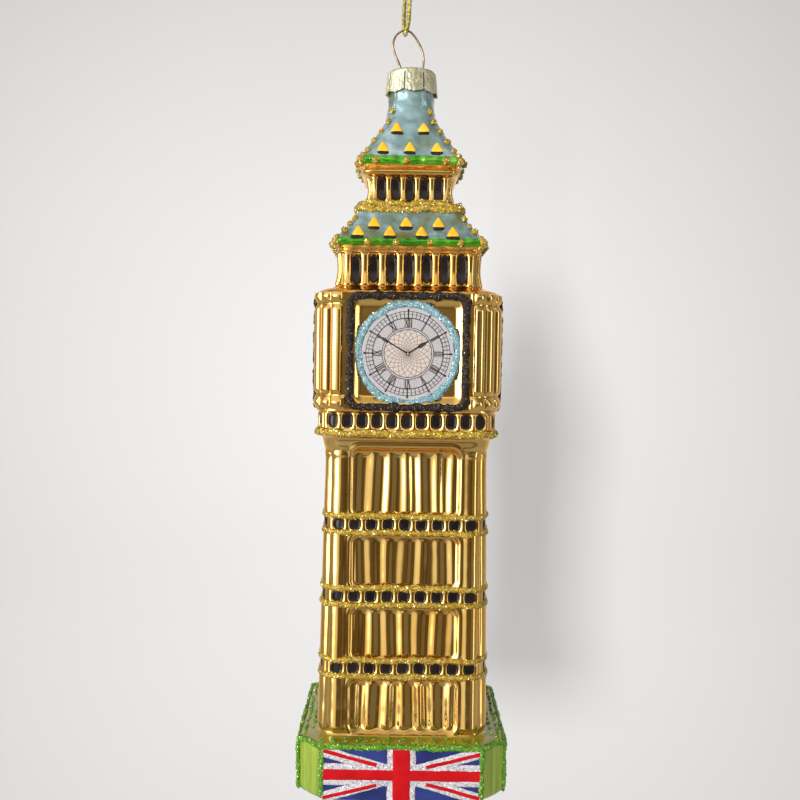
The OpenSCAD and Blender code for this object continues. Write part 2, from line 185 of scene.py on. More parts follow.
NECK = (
    key_rows(RIM, 0, (-26, 7.0, 7.0), (-12, 4.9, 4.9), (-8, 4.65, 4.65), (-0.5, 4.65, 4.65),
               (-0.1, 4.85, 4.85), (0, 5.1, 5.1), (-0.1, 5.35, 5.35), (-0.5, 5.45, 5.45),
               (-7.2, 5.5, 5.5)))
UPPER_ROOF = (
    [NECK[-1]]
    + key_rows(ROOF_1, 0, (-1.8, 5.9, 5.0), (-5.8, 7.6, 3.8), (-9.6, 9.8, 3.0))
    + key_rows(EAVE_1, EAVE_1_HALF, (0.3, -0.7, 2.9), (-0.2, -0.15, 2.8), (-1.0, 0.15, 2.8),
               (-1.8, -0.1, 2.8), (-2.3, -0.9, 2.8))
    + key_rows(BELFRY_1, EAVE_1_HALF, (-0.1, -1.5, 2.7)))
UPPER_BELFRY = (
    [UPPER_ROOF[-1]]
    + key_rows(BELFRY_1, EAVE_1_HALF, (-0.35, -1.15, 2.7), (-0.9, -0.85, 2.7), (-1.5, -1.1, 2.6))
    + key_rows(BELFRY_1, BELFRY_1_HALF, (-2.1, 0.35, 2.3), (-2.7, -0.05, 2.2), (-5.0, -0.35, 2.2))
    + key_rows(COLLAR, BELFRY_1_HALF, (0.6, 0.1, 2.3), (0, 0.9, 2.4), (-0.8, 1.9, 2.6)))
LOWER_ROOF = (
    [UPPER_BELFRY[-1]]
    + key_rows(COLLAR, BELFRY_1_HALF, (-2.0, 2.3, 2.8))
    + key_rows(ROOF_2, BELFRY_1_HALF, (0.2, 2.8, 3.0))
    + key_rows(ROOF_2, EAVE_2_HALF, (-3.2, -2.5, 3.2))
    + key_rows(EAVE_2, EAVE_2_HALF, (0.2, -0.8, 3.4), (-0.3, -0.2, 3.4), (-1.1, 0.1, 3.4),
               (-1.8, -0.15, 3.4), (-2.3, -0.8, 3.4))
    + key_rows(BELFRY_2, EAVE_2_HALF, (-0.1, -1.2, 3.2)))
LOWER_BELFRY = (
    [LOWER_ROOF[-1]]
    + key_rows(BELFRY_2, EAVE_2_HALF, (-0.5, -1.3, 3.1))
    + key_rows(BELFRY_2, BELFRY_2_HALF, (-0.9, 0.25, 3.0), (-1.3, -0.1, 3.0), (-5.0, -0.3, 3.0))
    + key_rows(CLOCK, BELFRY_2_HALF, (0.5, 0.2, 3.0), (-0.2, 1.2, 3.4, 0.9), (-0.7, 2.9, 4.2, 0.7))
    + key_rows(CLOCK, CLOCK_HALF, (-1.1, -0.5, 5.0, 0.5), (-1.6, 0, 5.4, 0.45)))
CLOCK_STAGE = (
    [LOWER_BELFRY[-1]]
    + key_rows(CLOCK, CLOCK_HALF, (-2.2, 0, 5.5, 0.45))
    + key_rows(ARCADE, CLOCK_HALF, (0.6, 0, 5.5, 0.45), (0, -0.2, 5.3, 0.7), (-0.5, -0.8, 4.8))
    + key_rows(ARCADE_LINE, CLOCK_HALF, (0.9, -0.8, 4.8), (0, -0.6, 4.8)))
CORNICE = (
    [CLOCK_STAGE[-1]]
    + key_rows(ARCADE_LINE, CLOCK_HALF, (-0.7, -0.8, 4.8), (-1.3, -1.4, 4.6), (-3.2, -1.9, 4.4))
    + key_rows(SHAFT, SHAFT_HALF, (0.3, 0.15, 4.7), (-1.0, 0, 4.8))
    + key_rows(LINE_Z[0], SHAFT_HALF, (0, 0.2, 4.8)))


def shaft_half(z):
    return SHAFT_HALF + (FOOT_HALF - SHAFT_HALF) * (SHAFT - z) / (SHAFT - BASE)


def shaft_piece(top, bottom):
    rows = 4
    heights = [top + (bottom - top) * i / rows for i in range(rows + 1)]
    return [(z, shaft_half(z), 4.8, 1) for z in heights]


BASE_TOP = (
    key_rows(LINE_Z[5], shaft_half(LINE_Z[5]), (0, 0, 4.8))
    + key_rows(BASE, shaft_half(BASE + 3), (3, 0, 4.8))
    + key_rows(BASE, FOOT_HALF, (0.5, 0.05, 4.8), (0.1, 0.35, 4.8)))
BASE_BLOCK = (
    [BASE_TOP[-1]]
    + key_rows(BASE, FOOT_HALF, (-0.05, 0.9, 4.4, 0.6))
    + key_rows(BASE, BASE_HALF, (-0.25, -1.2, BASE_CUT, 0.15), (-0.45, -0.35, BASE_CUT, 0.05),
               (-0.95, -0.05, BASE_CUT, 0.05), (-1.8, 0, BASE_CUT, 0.05))
    + key_rows(BOTTOM, BASE_HALF, (2.2, 0, BASE_CUT, 0.05), (1.1, -0.25, BASE_CUT, 0.15),
               (0.35, -0.95, BASE_CUT, 0.3), (0, -2.2, BASE_CUT, 0.4), (0.1, -6, BASE_CUT, 0.6))
    + key_rows(BOTTOM, 0, (0.5, 6, 4), (0.55, 0.4, 0.3)))


def dense_rows(keys, step):
    """Rows about step apart along the smooth curve through the key rows."""
    keys = np.array(keys, float)
    run = np.concatenate([[0], np.cumsum(np.hypot(np.diff(keys[:, 0]), np.diff(keys[:, 1])) + 1e-6)])
    q = np.linspace(0, run[-1], max(4, int(run[-1] / step)))
    return np.stack([eased(run, keys[:, i], q) for i in range(4)], axis=1)


OUTSIDE = np.concatenate([
    dense_rows(keys, 0.2) for keys in
    (NECK[6:], UPPER_ROOF, UPPER_BELFRY, LOWER_ROOF, LOWER_BELFRY, CLOCK_STAGE, CORNICE,
     shaft_piece(LINE_Z[0], LINE_Z[5]), BASE_TOP, BASE_BLOCK[:8])])
OUTSIDE = OUTSIDE[np.argsort(-OUTSIDE[:, 0], kind="stable")]


def row_at(z):
    """Half width, corner cut and roundness of the outside at each height."""
    return [np.interp(-np.asarray(z, float), -OUTSIDE[:, 0], OUTSIDE[:, i]) for i in (1, 2, 3)]


def reach_of(half, cut):
    """Distance along the surface from the middle of a side to the middle of its corner."""
    return half - cut + cut * math.pi / 4


# ---- the glass's relief, outward positive ----

# rows of windows: distance between them, their number and their middle's height
ROW_1 = dict(pitch=3.34, count=5, zc=COLLAR + 3.2)
ROW_2 = dict(pitch=4.04, count=7, zc=CLOCK + 4.15)
ROW_ARCADE = dict(pitch=3.35, count=11, zc=ARCADE - 2.2)
ROW_BANDS = [dict(pitch=3.79, count=9, zc=(LINE_Z[i] + LINE_Z[i + 1]) / 2) for i in (0, 2, 4)]
PITCH_FLUTE = 3.72
PANEL_HALF = 12.45


def nearest_window(x, pitch, count):
    k = np.clip(np.rint(x / pitch), -(count // 2), count // 2)
    return x - k * pitch


def windows(x, z, pitch, count, zc, w, h, depth, rib, rib_zone=1):
    """A row of pockets for windows, with rounded ribs midway between neighbours."""
    dx = nearest_window(x, pitch, count)
    q = (np.abs(dx / (w / 2)) ** 3 + np.abs((z - zc) / (h / 2)) ** 3) ** (1 / 3)
    u = (0.5 - np.abs(dx) / pitch) / 0.27
    ribs = rib * np.maximum(0, 1 - u * u) * (np.abs(x) < (count / 2 + 0.2) * pitch)
    return -depth * (1 - smooth(0.6, 1.2, q)) + ribs * rib_zone


def rounded_box_distance(x, z, half_w, half_h, r):
    qx = np.abs(x) - (half_w - r)
    qz = np.abs(z) - (half_h - r)
    return np.hypot(np.maximum(qx, 0), np.maximum(qz, 0)) + np.minimum(np.maximum(qx, qz), 0) - r


def belfry_relief(x, z):
    up = windows(x, z, **ROW_1, w=2.25, h=6.3, depth=0.55, rib=0.4,
                 rib_zone=between(z, BELFRY_1 - 2.0, COLLAR + 0.2, 0.6))
    down = windows(x, z, **ROW_2, w=2.45, h=8.0, depth=0.75, rib=0.5,
                   rib_zone=between(z, BELFRY_2 - 1.0, CLOCK + 0.1, 0.6))
    bumps = 0.4 * np.exp(-((nearest_window(x, ROW_2["pitch"] / 2, 15) / 0.62) ** 2)
                         - ((z - CLOCK + 0.45) / 0.5) ** 2)
    roofs = np.maximum(smooth(BELFRY_1 + 0.3, BELFRY_1 + 0.8, z),
                       between(z, COLLAR - 1.5, BELFRY_2 + 0.3, 0.5))
    ripple = 0.13 * np.sin(1.15 * x + 0.8 * z) * np.sin(0.9 * z - 0.55 * x + 1)
    eaves = between(z, EAVE_1 + 0.5, BELFRY_1 + 0.3, 0.5) + between(z, EAVE_2 + 0.2, BELFRY_2 + 0.3, 0.5)
    ripple = ripple + 0.13 * eaves * np.sin(1.9 * x + 0.5) * np.sin(0.65 * x + 0.4 * z)
    return up + down + bumps + roofs * ripple


def clock_relief(x, z, reach):
    d = rounded_box_distance(x, z - FRAME_Z, FRAME_W / 2 - 1.5, FRAME_H / 2 - 1.5, 2.2)
    recess = -0.95 * smooth(0.1, -1.8, d)
    from_corner = reach - np.abs(x)
    column = 0.85 * np.maximum(dome(from_corner / 1.5), dome((from_corner - 3.3) / 1.5))
    top, bottom = CLOCK - 3.9, ARCADE + 3.4
    rise = between(z, top, bottom, 1.4)
    for end, turn in ((top, 1), (bottom, -1)):
        rise = rise + 0.75 * np.exp(-(((z - end) * turn - 1.5) / 1.0) ** 2)
    zone = between(z, CLOCK - 1.2, ARCADE + 0.4, 0.3) * smooth(13.9, 14.3, np.abs(x))
    ledge = 0.25 * (between(z, CLOCK - 1.4, CLOCK - 3.8, 0.2) + between(z, ARCADE + 3.4, ARCADE + 0.6, 0.2))
    return recess + zone * (column * np.clip(rise, 0, 1) + ledge)


def arcade_relief(x, z):
    zone = between(z, ARCADE - 0.3, ARCADE_LINE + 0.7, 0.3)
    return zone * windows(x, z, **ROW_ARCADE, w=2.6, h=3.6, depth=0.5, rib=0.35)


PANELS = [(SHAFT + 1.9, LINE_Z[0] - 0.6, 0.30), (LINE_Z[1] - 0.2, LINE_Z[2] - 0.6, 0.19),
          (LINE_Z[3] - 0.2, LINE_Z[4] - 0.6, 0.24), (LINE_Z[5] - 0.2, BASE + 0.3, 0.42)]


def shaft_relief(x, z):
    total = np.zeros(np.broadcast(x, z).shape)
    for top, bottom, depth in PANELS:
        middle, half_h = (top + bottom) / 2, (top - bottom) / 2
        d = rounded_box_distance(x, z - middle, PANEL_HALF, half_h, 2.4)
        sunk = np.clip(-d / 0.9, 0, 1)
        fade = between(z, top - 0.5, bottom + 0.1, 1.8)
        wander = 0.3 * np.sin(0.13 * z + 0.3 * x)
        uneven = 0.95 + 0.27 * np.sin(0.9 * x + top)
        flutes = depth * uneven * np.cos(2 * math.pi * (x + wander) / PITCH_FLUTE)
        total = total - sunk * (0.75 - flutes * fade)
        total = total + 0.22 * np.exp(-((d - 0.45) / 0.55) ** 2)      # the panel's lip
    pilaster = (np.abs(x) - (PANEL_HALF + 2.9)) / 2.15
    bulge = 0.6 * np.maximum(0, 1 - pilaster ** 2) * between(z, SHAFT + 1.5, BASE + 0.4, 1.5)
    for row in ROW_BANDS:
        inside = between(z, row["zc"] + 1.9, row["zc"] - 1.9, 0.5)
        total = total * (1 - inside) + inside * 0.1
        total = total + inside * windows(x, z, **row, w=2.7, h=2.8, depth=0.45, rib=0.3)
        bulge = bulge * (1 - inside)
    return total + bulge


def relief(x, z, reach):
    x, z, reach = np.broadcast_arrays(x, z, reach)
    total = np.where(z > CLOCK - 1.3, belfry_relief(x, z), 0.0)
    total = total + np.where((z < CLOCK - 1.0) & (z > ARCADE), clock_relief(x, z, reach), 0.0)
    total = total + np.where((z < ARCADE) & (z > ARCADE_LINE), arcade_relief(x, z), 0.0)
    total = total + np.where((z < SHAFT + 3.2) & (z > BASE), shaft_relief(x, z), 0.0)
    return total


def outline_point(x, half, cut, rounding):
    """Point and outward direction on the front side's outline at distance x along the surface."""
    flat = half - cut
    side = np.sign(x)
    angle = np.maximum(np.abs(x) - flat, 0) / np.maximum(cut, 1e-6)
    share = angle / (math.pi / 2)
    on_flat = np.minimum(np.abs(x), flat)
    round_x, round_y = on_flat + cut * np.sin(angle), -(flat + cut * np.cos(angle))
    straight_x, straight_y = on_flat + cut * share, -(half - cut * share)
    px = side * (rounding * round_x + (1 - rounding) * straight_x)
    py = rounding * round_y + (1 - rounding) * straight_y
    turn = rounding * angle + (1 - rounding) * math.pi / 4 * smooth(0, 0.06, share)
    return px, py, side * np.sin(turn), -np.cos(turn)


def quarter_turn(x, y, side):
    for _ in range(side):
        x, y = -y, x
    return x, y


def on_glass(side, x, z, lift=0.0, with_relief=True):
    """Points of the glass's outside at surface distance x and height z, lifted outwards."""
    x, z = np.broadcast_arrays(np.asarray(x, float), np.asarray(z, float))
    half, cut, rounding = row_at(z)
    px, py, nx, ny = outline_point(x, half, cut, rounding)
    out = lift + (relief(x, z, reach_of(half, cut)) if with_relief else 0)
    px, py = quarter_turn(px + nx * out, py + ny * out, side)
    return np.stack([px, py, z], axis=-1)


# ---- meshes ----

def add_mesh(name, verts, face_groups, material, body, smooth_shading=True):
    """A mesh piece from points in millimetres and lists of faces, riding on a body."""
    verts = np.asarray(verts, float).reshape(-1, 3) * MM
    groups = [np.asarray(g, np.int32) for g in face_groups if len(g)]
    sizes = np.concatenate([np.full(len(g), g.shape[1], np.int32) for g in groups])
    loops = np.concatenate([g.ravel() for g in groups])
    mesh = bpy.data.meshes.new(name)
    mesh.vertices.add(len(verts))
    mesh.vertices.foreach_set("co", verts.ravel())
    mesh.loops.add(len(loops))
    mesh.loops.foreach_set("vertex_index", loops)
    mesh.polygons.add(len(sizes))
    mesh.polygons.foreach_set("loop_start", (np.cumsum(sizes) - sizes).astype(np.int32))
    mesh.polygons.foreach_set("loop_total", sizes)
    mesh.materials.append(material)
    mesh.polygons.foreach_set("use_smooth", np.full(len(sizes), smooth_shading))
    mesh.update(calc_edges=True)
    mesh.validate()
    piece = bpy.data.objects.new(name, mesh)
    bpy.context.scene.collection.objects.link(piece)
    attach(piece, body)
    return piece


def grid_faces(rows, columns, closed):
    """Quads of a grid of points, whose rows may close on themselves."""
    r = np.arange(rows - 1)[:, None]
    c = np.arange(columns if closed else columns - 1)[None, :]
    nxt = (c + 1) % columns
    return np.stack([r * columns + c, (r + 1) * columns + c, (r + 1) * columns + nxt, r * columns + nxt],
                    axis=-1).reshape(-1, 4)


def join_parts(parts):
    """Several (points, face groups) joined into one."""
    points, groups, start = [], {}, 0
    for verts, faces in parts:
        verts = np.asarray(verts).reshape(-1, 3)
        for g in map(np.asarray, faces):
            groups.setdefault(g.shape[1], []).append(g + start)
        points.append(verts)
        start += len(verts)
    return np.concatenate(points), [np.concatenate(g) for g in groups.values()]


def glass_stage(name, keys, material, step, column_step, with_relief=True):
    """One stage of the glass between the key rows."""
    rows = dense_rows(keys, step)
    longest = max(reach_of(r[1], r[2]) for r in rows)
    per_side = max(24, int(2 * longest / column_step))
    share = np.linspace(-1, 1, per_side, endpoint=False)[None, :]
    half, cut, rounding, z = (rows[:, i][:, None] for i in (1, 2, 3, 0))
    reach = reach_of(half, cut)
    x = share * reach
    px, py, nx, ny = outline_point(x, half, cut, rounding)
    out = relief(x, z, reach) if with_relief else 0
    px, py = px + nx * out, py + ny * out
    zz = np.broadcast_to(z, px.shape)
    sides = [np.stack([*quarter_turn(px, py, s), zz], axis=-1) for s in range(4)]
    verts = np.concatenate(sides, axis=1)
    piece = add_mesh("glass_" + name, verts, [grid_faces(len(rows), 4 * per_side, True)], material, "glass")
    return piece


def sweep(path, radius, sides, closed=False, up=(0, 0, 1)):
    """A tube round path (n, 3); radius may vary by ring and side."""
    path = np.asarray(path, float)
    if closed:
        tangent = np.roll(path, -1, 0) - np.roll(path, 1, 0)
    else:
        tangent = np.gradient(path, axis=0)
    tangent = unit(tangent)
    side = unit(np.cross(tangent, up))
    other = np.cross(side, tangent)
    angle = turns(sides)
    radius = np.broadcast_to(radius, (len(path), sides))
    ring = radius[..., None] * (np.cos(angle)[None, :, None] * side[:, None]
                                + np.sin(angle)[None, :, None] * other[:, None])
    verts = path[:, None] + ring
    faces = [grid_faces(len(path) + (1 if closed else 0), sides, True)]
    if closed:
        faces = [faces[0] % (len(path) * sides)]
    else:
        faces.append(np.arange(sides)[None, :])
        faces.append((np.arange(sides)[::-1] + (len(path) - 1) * sides)[None, :])
    return verts.reshape(-1, 3), faces


def twist_of(path, pitch, sides, depth):
    """Radius factors of two strands twisted together, by ring and side."""
    run = run_of(path)
    angle = turns(sides)[None, :]
    return 1 - depth + depth * np.abs(np.cos(angle - math.pi * run[:, None] / pitch))


def resample(path, step):
    """Points step apart along a smooth curve through the path's points."""
    path = np.asarray(path, float)
    run = run_of(path)
    q = np.linspace(0, run[-1], max(3, int(run[-1] / step)))
    tangent = np.gradient(path, run, axis=0)
    i = np.clip(np.searchsorted(run, q) - 1, 0, len(run) - 2)
    h = (run[i + 1] - run[i])[:, None]
    s = ((q - run[i])[:, None]) / h
    return ((1 + 2 * s) * (1 - s) ** 2 * path[i] + s * (1 - s) ** 2 * h * tangent[i]
            + s * s * (3 - 2 * s) * path[i + 1] + s * s * (s - 1) * h * tangent[i + 1])


FLAKE_LIFT = 0.03


def flakes_on(verts, faces, per_mm2, size, tilt):
    """Small square flakes scattered over a surface, each leaning its own way."""
    verts = np.asarray(verts).reshape(-1, 3)
    tris = []
    for g in faces:
        g = np.asarray(g)
        if g.shape[1] == 3:
            tris.append(g)
        elif g.shape[1] == 4:
            tris += [g[:, [0, 1, 2]], g[:, [0, 2, 3]]]
    tris = np.concatenate(tris)
    a, b, c = (verts[tris[:, i]] for i in range(3))
    normal = np.cross(b - a, c - a)
    area = np.linalg.norm(normal, axis=1) / 2
    keep = area > 1e-9
    a, b, c, normal, area = a[keep], b[keep], c[keep], normal[keep], area[keep]
    count = int(per_mm2 * area.sum())
    pick = rng.choice(len(area), count, p=area / area.sum())
    u, v = rng.random((2, count))
    flip = u + v > 1
    u, v = np.where(flip, 1 - u, u), np.where(flip, 1 - v, v)
    centre = a[pick] + (b - a)[pick] * u[:, None] + (c - a)[pick] * v[:, None]
    n = normal[pick] / (2 * area[pick][:, None])
    centre = centre + n * FLAKE_LIFT
    n = unit(n + rng.normal(scale=tilt, size=(count, 3)))
    first = unit(np.cross(n, rng.normal(size=(count, 3))))
    second = np.cross(n, first)
    half = (size * rng.uniform(0.6, 1.15, count) / 2)[:, None]
    corners = np.stack([centre + half * (sx * first + sy * second)
                        for sx, sy in ((-1, -1), (1, -1), (1, 1), (-1, 1))], axis=1)
    return corners.reshape(-1, 3), [np.arange(count * 4).reshape(-1, 4)]


def lumpy(verts, centre_line, amount, scale, seed):
    """Pushes points away from or towards their line by smooth noise."""
    verts = np.asarray(verts, float)
    away = verts - centre_line
    return centre_line + away * (1 + amount * wave_noise(verts, scale, seed))[:, None]


# ---- materials ----

def feed(tree, value, socket):
    """Links an output to a socket, or gives the socket a value."""
    if isinstance(value, bpy.types.NodeSocket):
        tree.links.new(value, socket)
    elif isinstance(value, tuple) and socket.type == "RGBA":
        socket.default_value = (*value, 1)
    else:
        socket.default_value = value


def dress(tree, made, **sockets):
    """Feeds a node's sockets, named with _ for each space."""
    for key, value in sockets.items():
        feed(tree, value, made.inputs[key.replace("_", " ")])


def add_node(tree, kind, **sockets):
    made = tree.nodes.new("ShaderNode" + kind)
    dress(tree, made, **sockets)
    return made


def new_material(name, color, metallic=0.0, roughness=0.4, **sockets):
    """A Principled material; returns its node tree and its shader too."""
    m = bpy.data.materials.new(name)
    m.use_nodes = True
    shader = m.node_tree.nodes["Principled BSDF"]
    dress(m.node_tree, shader, Base_Color=color, Metallic=metallic, Roughness=roughness, **sockets)
    return m, m.node_tree, shader


def texture(tree, kind, scale, **values):
    """A procedural texture in the piece's own space, in metres."""
    where = add_node(tree, "TexCoord").outputs["Object"]
    return add_node(tree, "Tex" + kind, Vector=where, Scale=scale, **values)


def noise(tree, scale, **values):
    return texture(tree, "Noise", scale, **values).outputs["Fac"]


def ramp(tree, source, *stops):
    made = add_node(tree, "ValToRGB", Fac=source)
    elements = made.color_ramp.elements
    while len(elements) < len(stops):
        elements.new(0.5)
    for element, (place, color) in zip(elements, stops):
        element.position = place
        element.color = (*color, 1)
    return made.outputs["Color"]


def remap(tree, source, from_low, from_high, to_low=0.0, to_high=1.0):
    return add_node(tree, "MapRange", Value=source, From_Min=from_low, From_Max=from_high,
                    To_Min=to_low, To_Max=to_high).outputs["Result"]


def times(tree, *factors):
    """The product of several outputs."""
    product = factors[0]
    for factor in factors[1:]:
        made = add_node(tree, "Math")
        made.operation = "MULTIPLY"
        feed(tree, product, made.inputs[0])
        feed(tree, factor, made.inputs[1])
        product = made.outputs[0]
    return product


def mix_color(tree, factor, a, b):
    made = tree.nodes.new("ShaderNodeMix")
    made.data_type = "RGBA"
    color_a, color_b = made.inputs[6], made.inputs[7]
    feed(tree, factor, made.inputs["Factor"])
    feed(tree, a, color_a)
    feed(tree, b, color_b)
    return made.outputs[2]


def add_bump(tree, shader, strength, *sources):
    """Bump from several (height output, distance in metres), one after another."""
    last = {}
    for height, distance in sources:
        made = add_node(tree, "Bump", Strength=strength, Distance=distance, Height=height, **last)
        last = {"Normal": made.outputs["Normal"]}
    dress(tree, shader, **last)


# the first of these golds is painted shade, used only in the creases
GOLD_CREASE_SHADE, GOLD, GOLD_PALE = (0.48, 0.17, 0.010), (0.88, 0.49, 0.09), (0.95, 0.66, 0.22)
GOLD_SHEEN = (1.0, 0.65, 0.35)


def gold_colour(tree):
    """Gold lacquer that varies over the surface, with painted shade that turns it browner in the creases."""
    base = ramp(tree, noise(tree, 70, Detail=4, Roughness=0.6), (0.30, GOLD), (0.72, GOLD_PALE))
    point = add_node(tree, "NewGeometry").outputs["Pointiness"]
    # painted shade: where the glass curves inwards (low pointiness), the gold is mixed towards a dark brown
    return mix_color(tree, remap(tree, point, 0.40, 0.50, 1.0, 0.0), base, GOLD_CREASE_SHADE)


def gold_lustre():
    m, tree, shader = new_material("gold_lustre", GOLD, 1.0, 0.07, Specular_Tint=GOLD_SHEEN,
                                   Coat_Weight=0.6, Coat_Roughness=0.05)
    fine = noise(tree, 900, Detail=3)
    dress(tree, shader, Base_Color=gold_colour(tree), Roughness=remap(tree, fine, 0.3, 0.8, 0.05, 0.16))
    add_bump(tree, shader, 0.5, (noise(tree, 160, Detail=1), 0.00035), (fine, 0.00001))
    return m


EDGE_SOFT = 0.12


def height_step(tree, z, wobble=0.3):
    """0 below and 1 above a height, along an edge as uneven as a brush leaves it."""
    split = add_node(tree, "SeparateXYZ", Vector=add_node(tree, "TexCoord").outputs["Object"])
    raised = add_node(tree, "Math")
    raised.operation = "MULTIPLY_ADD"
    factors = (noise(tree, 260, Detail=3), 2 * wobble * MM, split.outputs["Z"])
    for socket, value in zip(raised.inputs, factors):
        feed(tree, value, socket)
    return remap(tree, raised.outputs[0], (z + wobble - EDGE_SOFT) * MM, (z + wobble + EDGE_SOFT) * MM)


def roof_lacquer(name, eave_top, eave_foot, worn):
    """Pearl blue over metallic green over gold, meeting at uneven paint edges."""
    m, tree, shader = new_material(name, (0.3, 0.45, 0.5), 0.5, 0.25, Coat_Roughness=0.10)
    cloud = noise(tree, 110, Detail=5, Roughness=0.65)
    blue = ramp(tree, cloud, (worn, (0.13, 0.12, 0.03)), (worn + 0.12, (0.13, 0.20, 0.18)),
                (0.6, (0.20, 0.30, 0.32)), (0.8, (0.50, 0.57, 0.54)))
    # the green varies at random; its palest stop is partly painted highlight on the lumpy eaves
    green = ramp(tree, cloud, (0.3, (0.025, 0.17, 0.004)), (0.6, (0.09, 0.40, 0.015)),
                 (0.8, (0.34, 0.66, 0.10)))
    above = height_step(tree, eave_top)
    below = height_step(tree, eave_foot, 0.2)
    dress(tree, shader, Metallic=remap(tree, above, 0, 1, 0.8, 0.5),
          Roughness=remap(tree, above, 0, 1, 0.10, 0.22),
          Base_Color=mix_color(tree, below, gold_colour(tree), mix_color(tree, above, green, blue)),
          Specular_Tint=mix_color(tree, below, GOLD_SHEEN, (1.0, 1.0, 1.0)),
          Coat_Weight=remap(tree, below, 0, 1, 0.0, 0.5))
    add_bump(tree, shader, 0.5, (noise(tree, 260, Detail=1), 0.0022), (cloud, 0.0006),
             (noise(tree, 700, Detail=4), 0.00003))
    return m


def base_lacquer():
    """Brushed green: paler on the upright chamfers, duller and darker on top."""
    m, tree, shader = new_material("base_lacquer", (0.3, 0.5, 0.08), 0.15, 0.32,
                                   Coat_Weight=0.5, Coat_Roughness=0.1)
    stretch = add_node(tree, "Mapping", Vector=add_node(tree, "TexCoord").outputs["Object"],
                       Scale=(900, 900, 60))
    strokes = add_node(tree, "TexNoise", Vector=stretch.outputs["Vector"], Scale=1, Detail=4).outputs["Fac"]
    upright = ramp(tree, strokes, (0.3, (0.12, 0.18, 0.015)), (0.6, (0.22, 0.30, 0.032)),
                   (0.85, (0.32, 0.42, 0.09)))
    flat = ramp(tree, noise(tree, 160, Detail=5), (0.3, (0.13, 0.12, 0.004)), (0.8, (0.26, 0.24, 0.010)))
    dress(tree, shader, Base_Color=mix_color(tree, height_step(tree, BASE - 0.75, 0.1), upright, flat))
    add_bump(tree, shader, 0.5, (strokes, 0.00005))
    return m


def glitter_glue(name, dark, light, metallic=0.5, coat=0.4, specular=0.5):
    """The cured glue between the flakes, itself full of finer ones."""
    m, tree, shader = new_material(name, dark, metallic, Specular_IOR_Level=specular, Coat_Weight=coat)
    cells = texture(tree, "Voronoi", 4200)
    cloud = noise(tree, 1500, Detail=3)
    grain = mix_color(tree, cloud, cells.outputs["Color"], (0.5, 0.5, 0.5))
    dress(tree, shader, Base_Color=ramp(tree, grain, (0.25, dark), (0.75, light)),
          Roughness=remap(tree, cells.outputs["Distance"], 0, 0.6, 0.15, 0.5))
    add_bump(tree, shader, 0.9, (cells.outputs["Distance"], 0.00012), (cloud, 0.00015))
    return m


def flake_foil(name, dark, mid, light, roughness=0.22):
    """Foil flakes, each with its own tint."""
    m, tree, shader = new_material(name, mid, 0.85, roughness)
    tint = texture(tree, "Voronoi", 3000).outputs["Color"]
    dress(tree, shader, Base_Color=ramp(tree, tint, (0.25, dark), (0.5, mid), (0.68, light)))
    return m


def enamel(name, low_colour, high_colour, roughness, scale=300, coat=0.0, specular=0.5):
    """Poured enamel whose colour and thickness drift a little."""
    m, tree, shader = new_material(name, low_colour, 0.0, roughness, Coat_Weight=coat, Coat_Roughness=0.05,
                                   Specular_IOR_Level=specular)
    cloud = noise(tree, scale, Detail=4)
    dress(tree, shader, Base_Color=ramp(tree, cloud, (0.3, low_colour), (0.75, high_colour)))
    add_bump(tree, shader, 0.6, (cloud, 0.00008))
    return m


def print_ink(name, color):
    m, tree, shader = new_material(name, color, 0.0, 0.45)
    wear = noise(tree, 2500, Detail=3)
    pale = tuple(0.02 + 1.2 * c for c in color)
    dress(tree, shader, Base_Color=ramp(tree, wear, (0.35, color), (0.8, pale)))
    add_bump(tree, shader, 0.3, (wear, 0.00001))
    return m


def embossed_cap():
    """Thin gilt sheet with a hammered grain and rubbed, paler high spots."""
    m, tree, shader = new_material("embossed_cap", (0.75, 0.72, 0.5), 1.0, 0.28)
    cells = texture(tree, "Voronoi", 1500)
    cells.feature = "SMOOTH_F1"
    cloud = noise(tree, 500, Detail=4)
    dress(tree, shader, Roughness=remap(tree, cells.outputs["Distance"], 0, 0.6, 0.38, 0.6),
          Base_Color=ramp(tree, cloud, (0.3, (0.62, 0.58, 0.36)), (0.6, (0.84, 0.81, 0.60)),
                          (0.85, (0.94, 0.88, 0.80))))
    add_bump(tree, shader, 0.8, (cells.outputs["Distance"], 0.00025), (cloud, 0.0001))
    return m


def dull_wire():
    m, tree, shader = new_material("dull_wire", (0.42, 0.33, 0.2), 1.0, 0.32)
    dress(tree, shader, Base_Color=ramp(
        tree, noise(tree, 500, Detail=5), (0.3, (0.20, 0.14, 0.08)), (0.6, (0.50, 0.38, 0.22)),
        (0.85, (0.75, 0.62, 0.40))))
    add_bump(tree, shader, 0.5, (noise(tree, 4000, Detail=2), 0.00002))
    return m


def metallic_thread():
    """Flat foil wound round a yellow core: bright on the turns, greenish-brown between them."""
    m, tree, shader = new_material("metallic_thread", (0.6, 0.47, 0.1), 0.75, 0.3)
    fibre = texture(tree, "Wave", 2600, Distortion=2.5, Detail=2)
    fibre.bands_direction = "DIAGONAL"
    dress(tree, shader, Base_Color=ramp(
        tree, noise(tree, 900, Detail=4), (0.3, (0.20, 0.15, 0.02)), (0.55, (0.46, 0.37, 0.09)),
        (0.75, (0.85, 0.76, 0.36))))
    add_bump(tree, shader, 0.6, (fibre.outputs["Fac"], 0.00006))
    return m


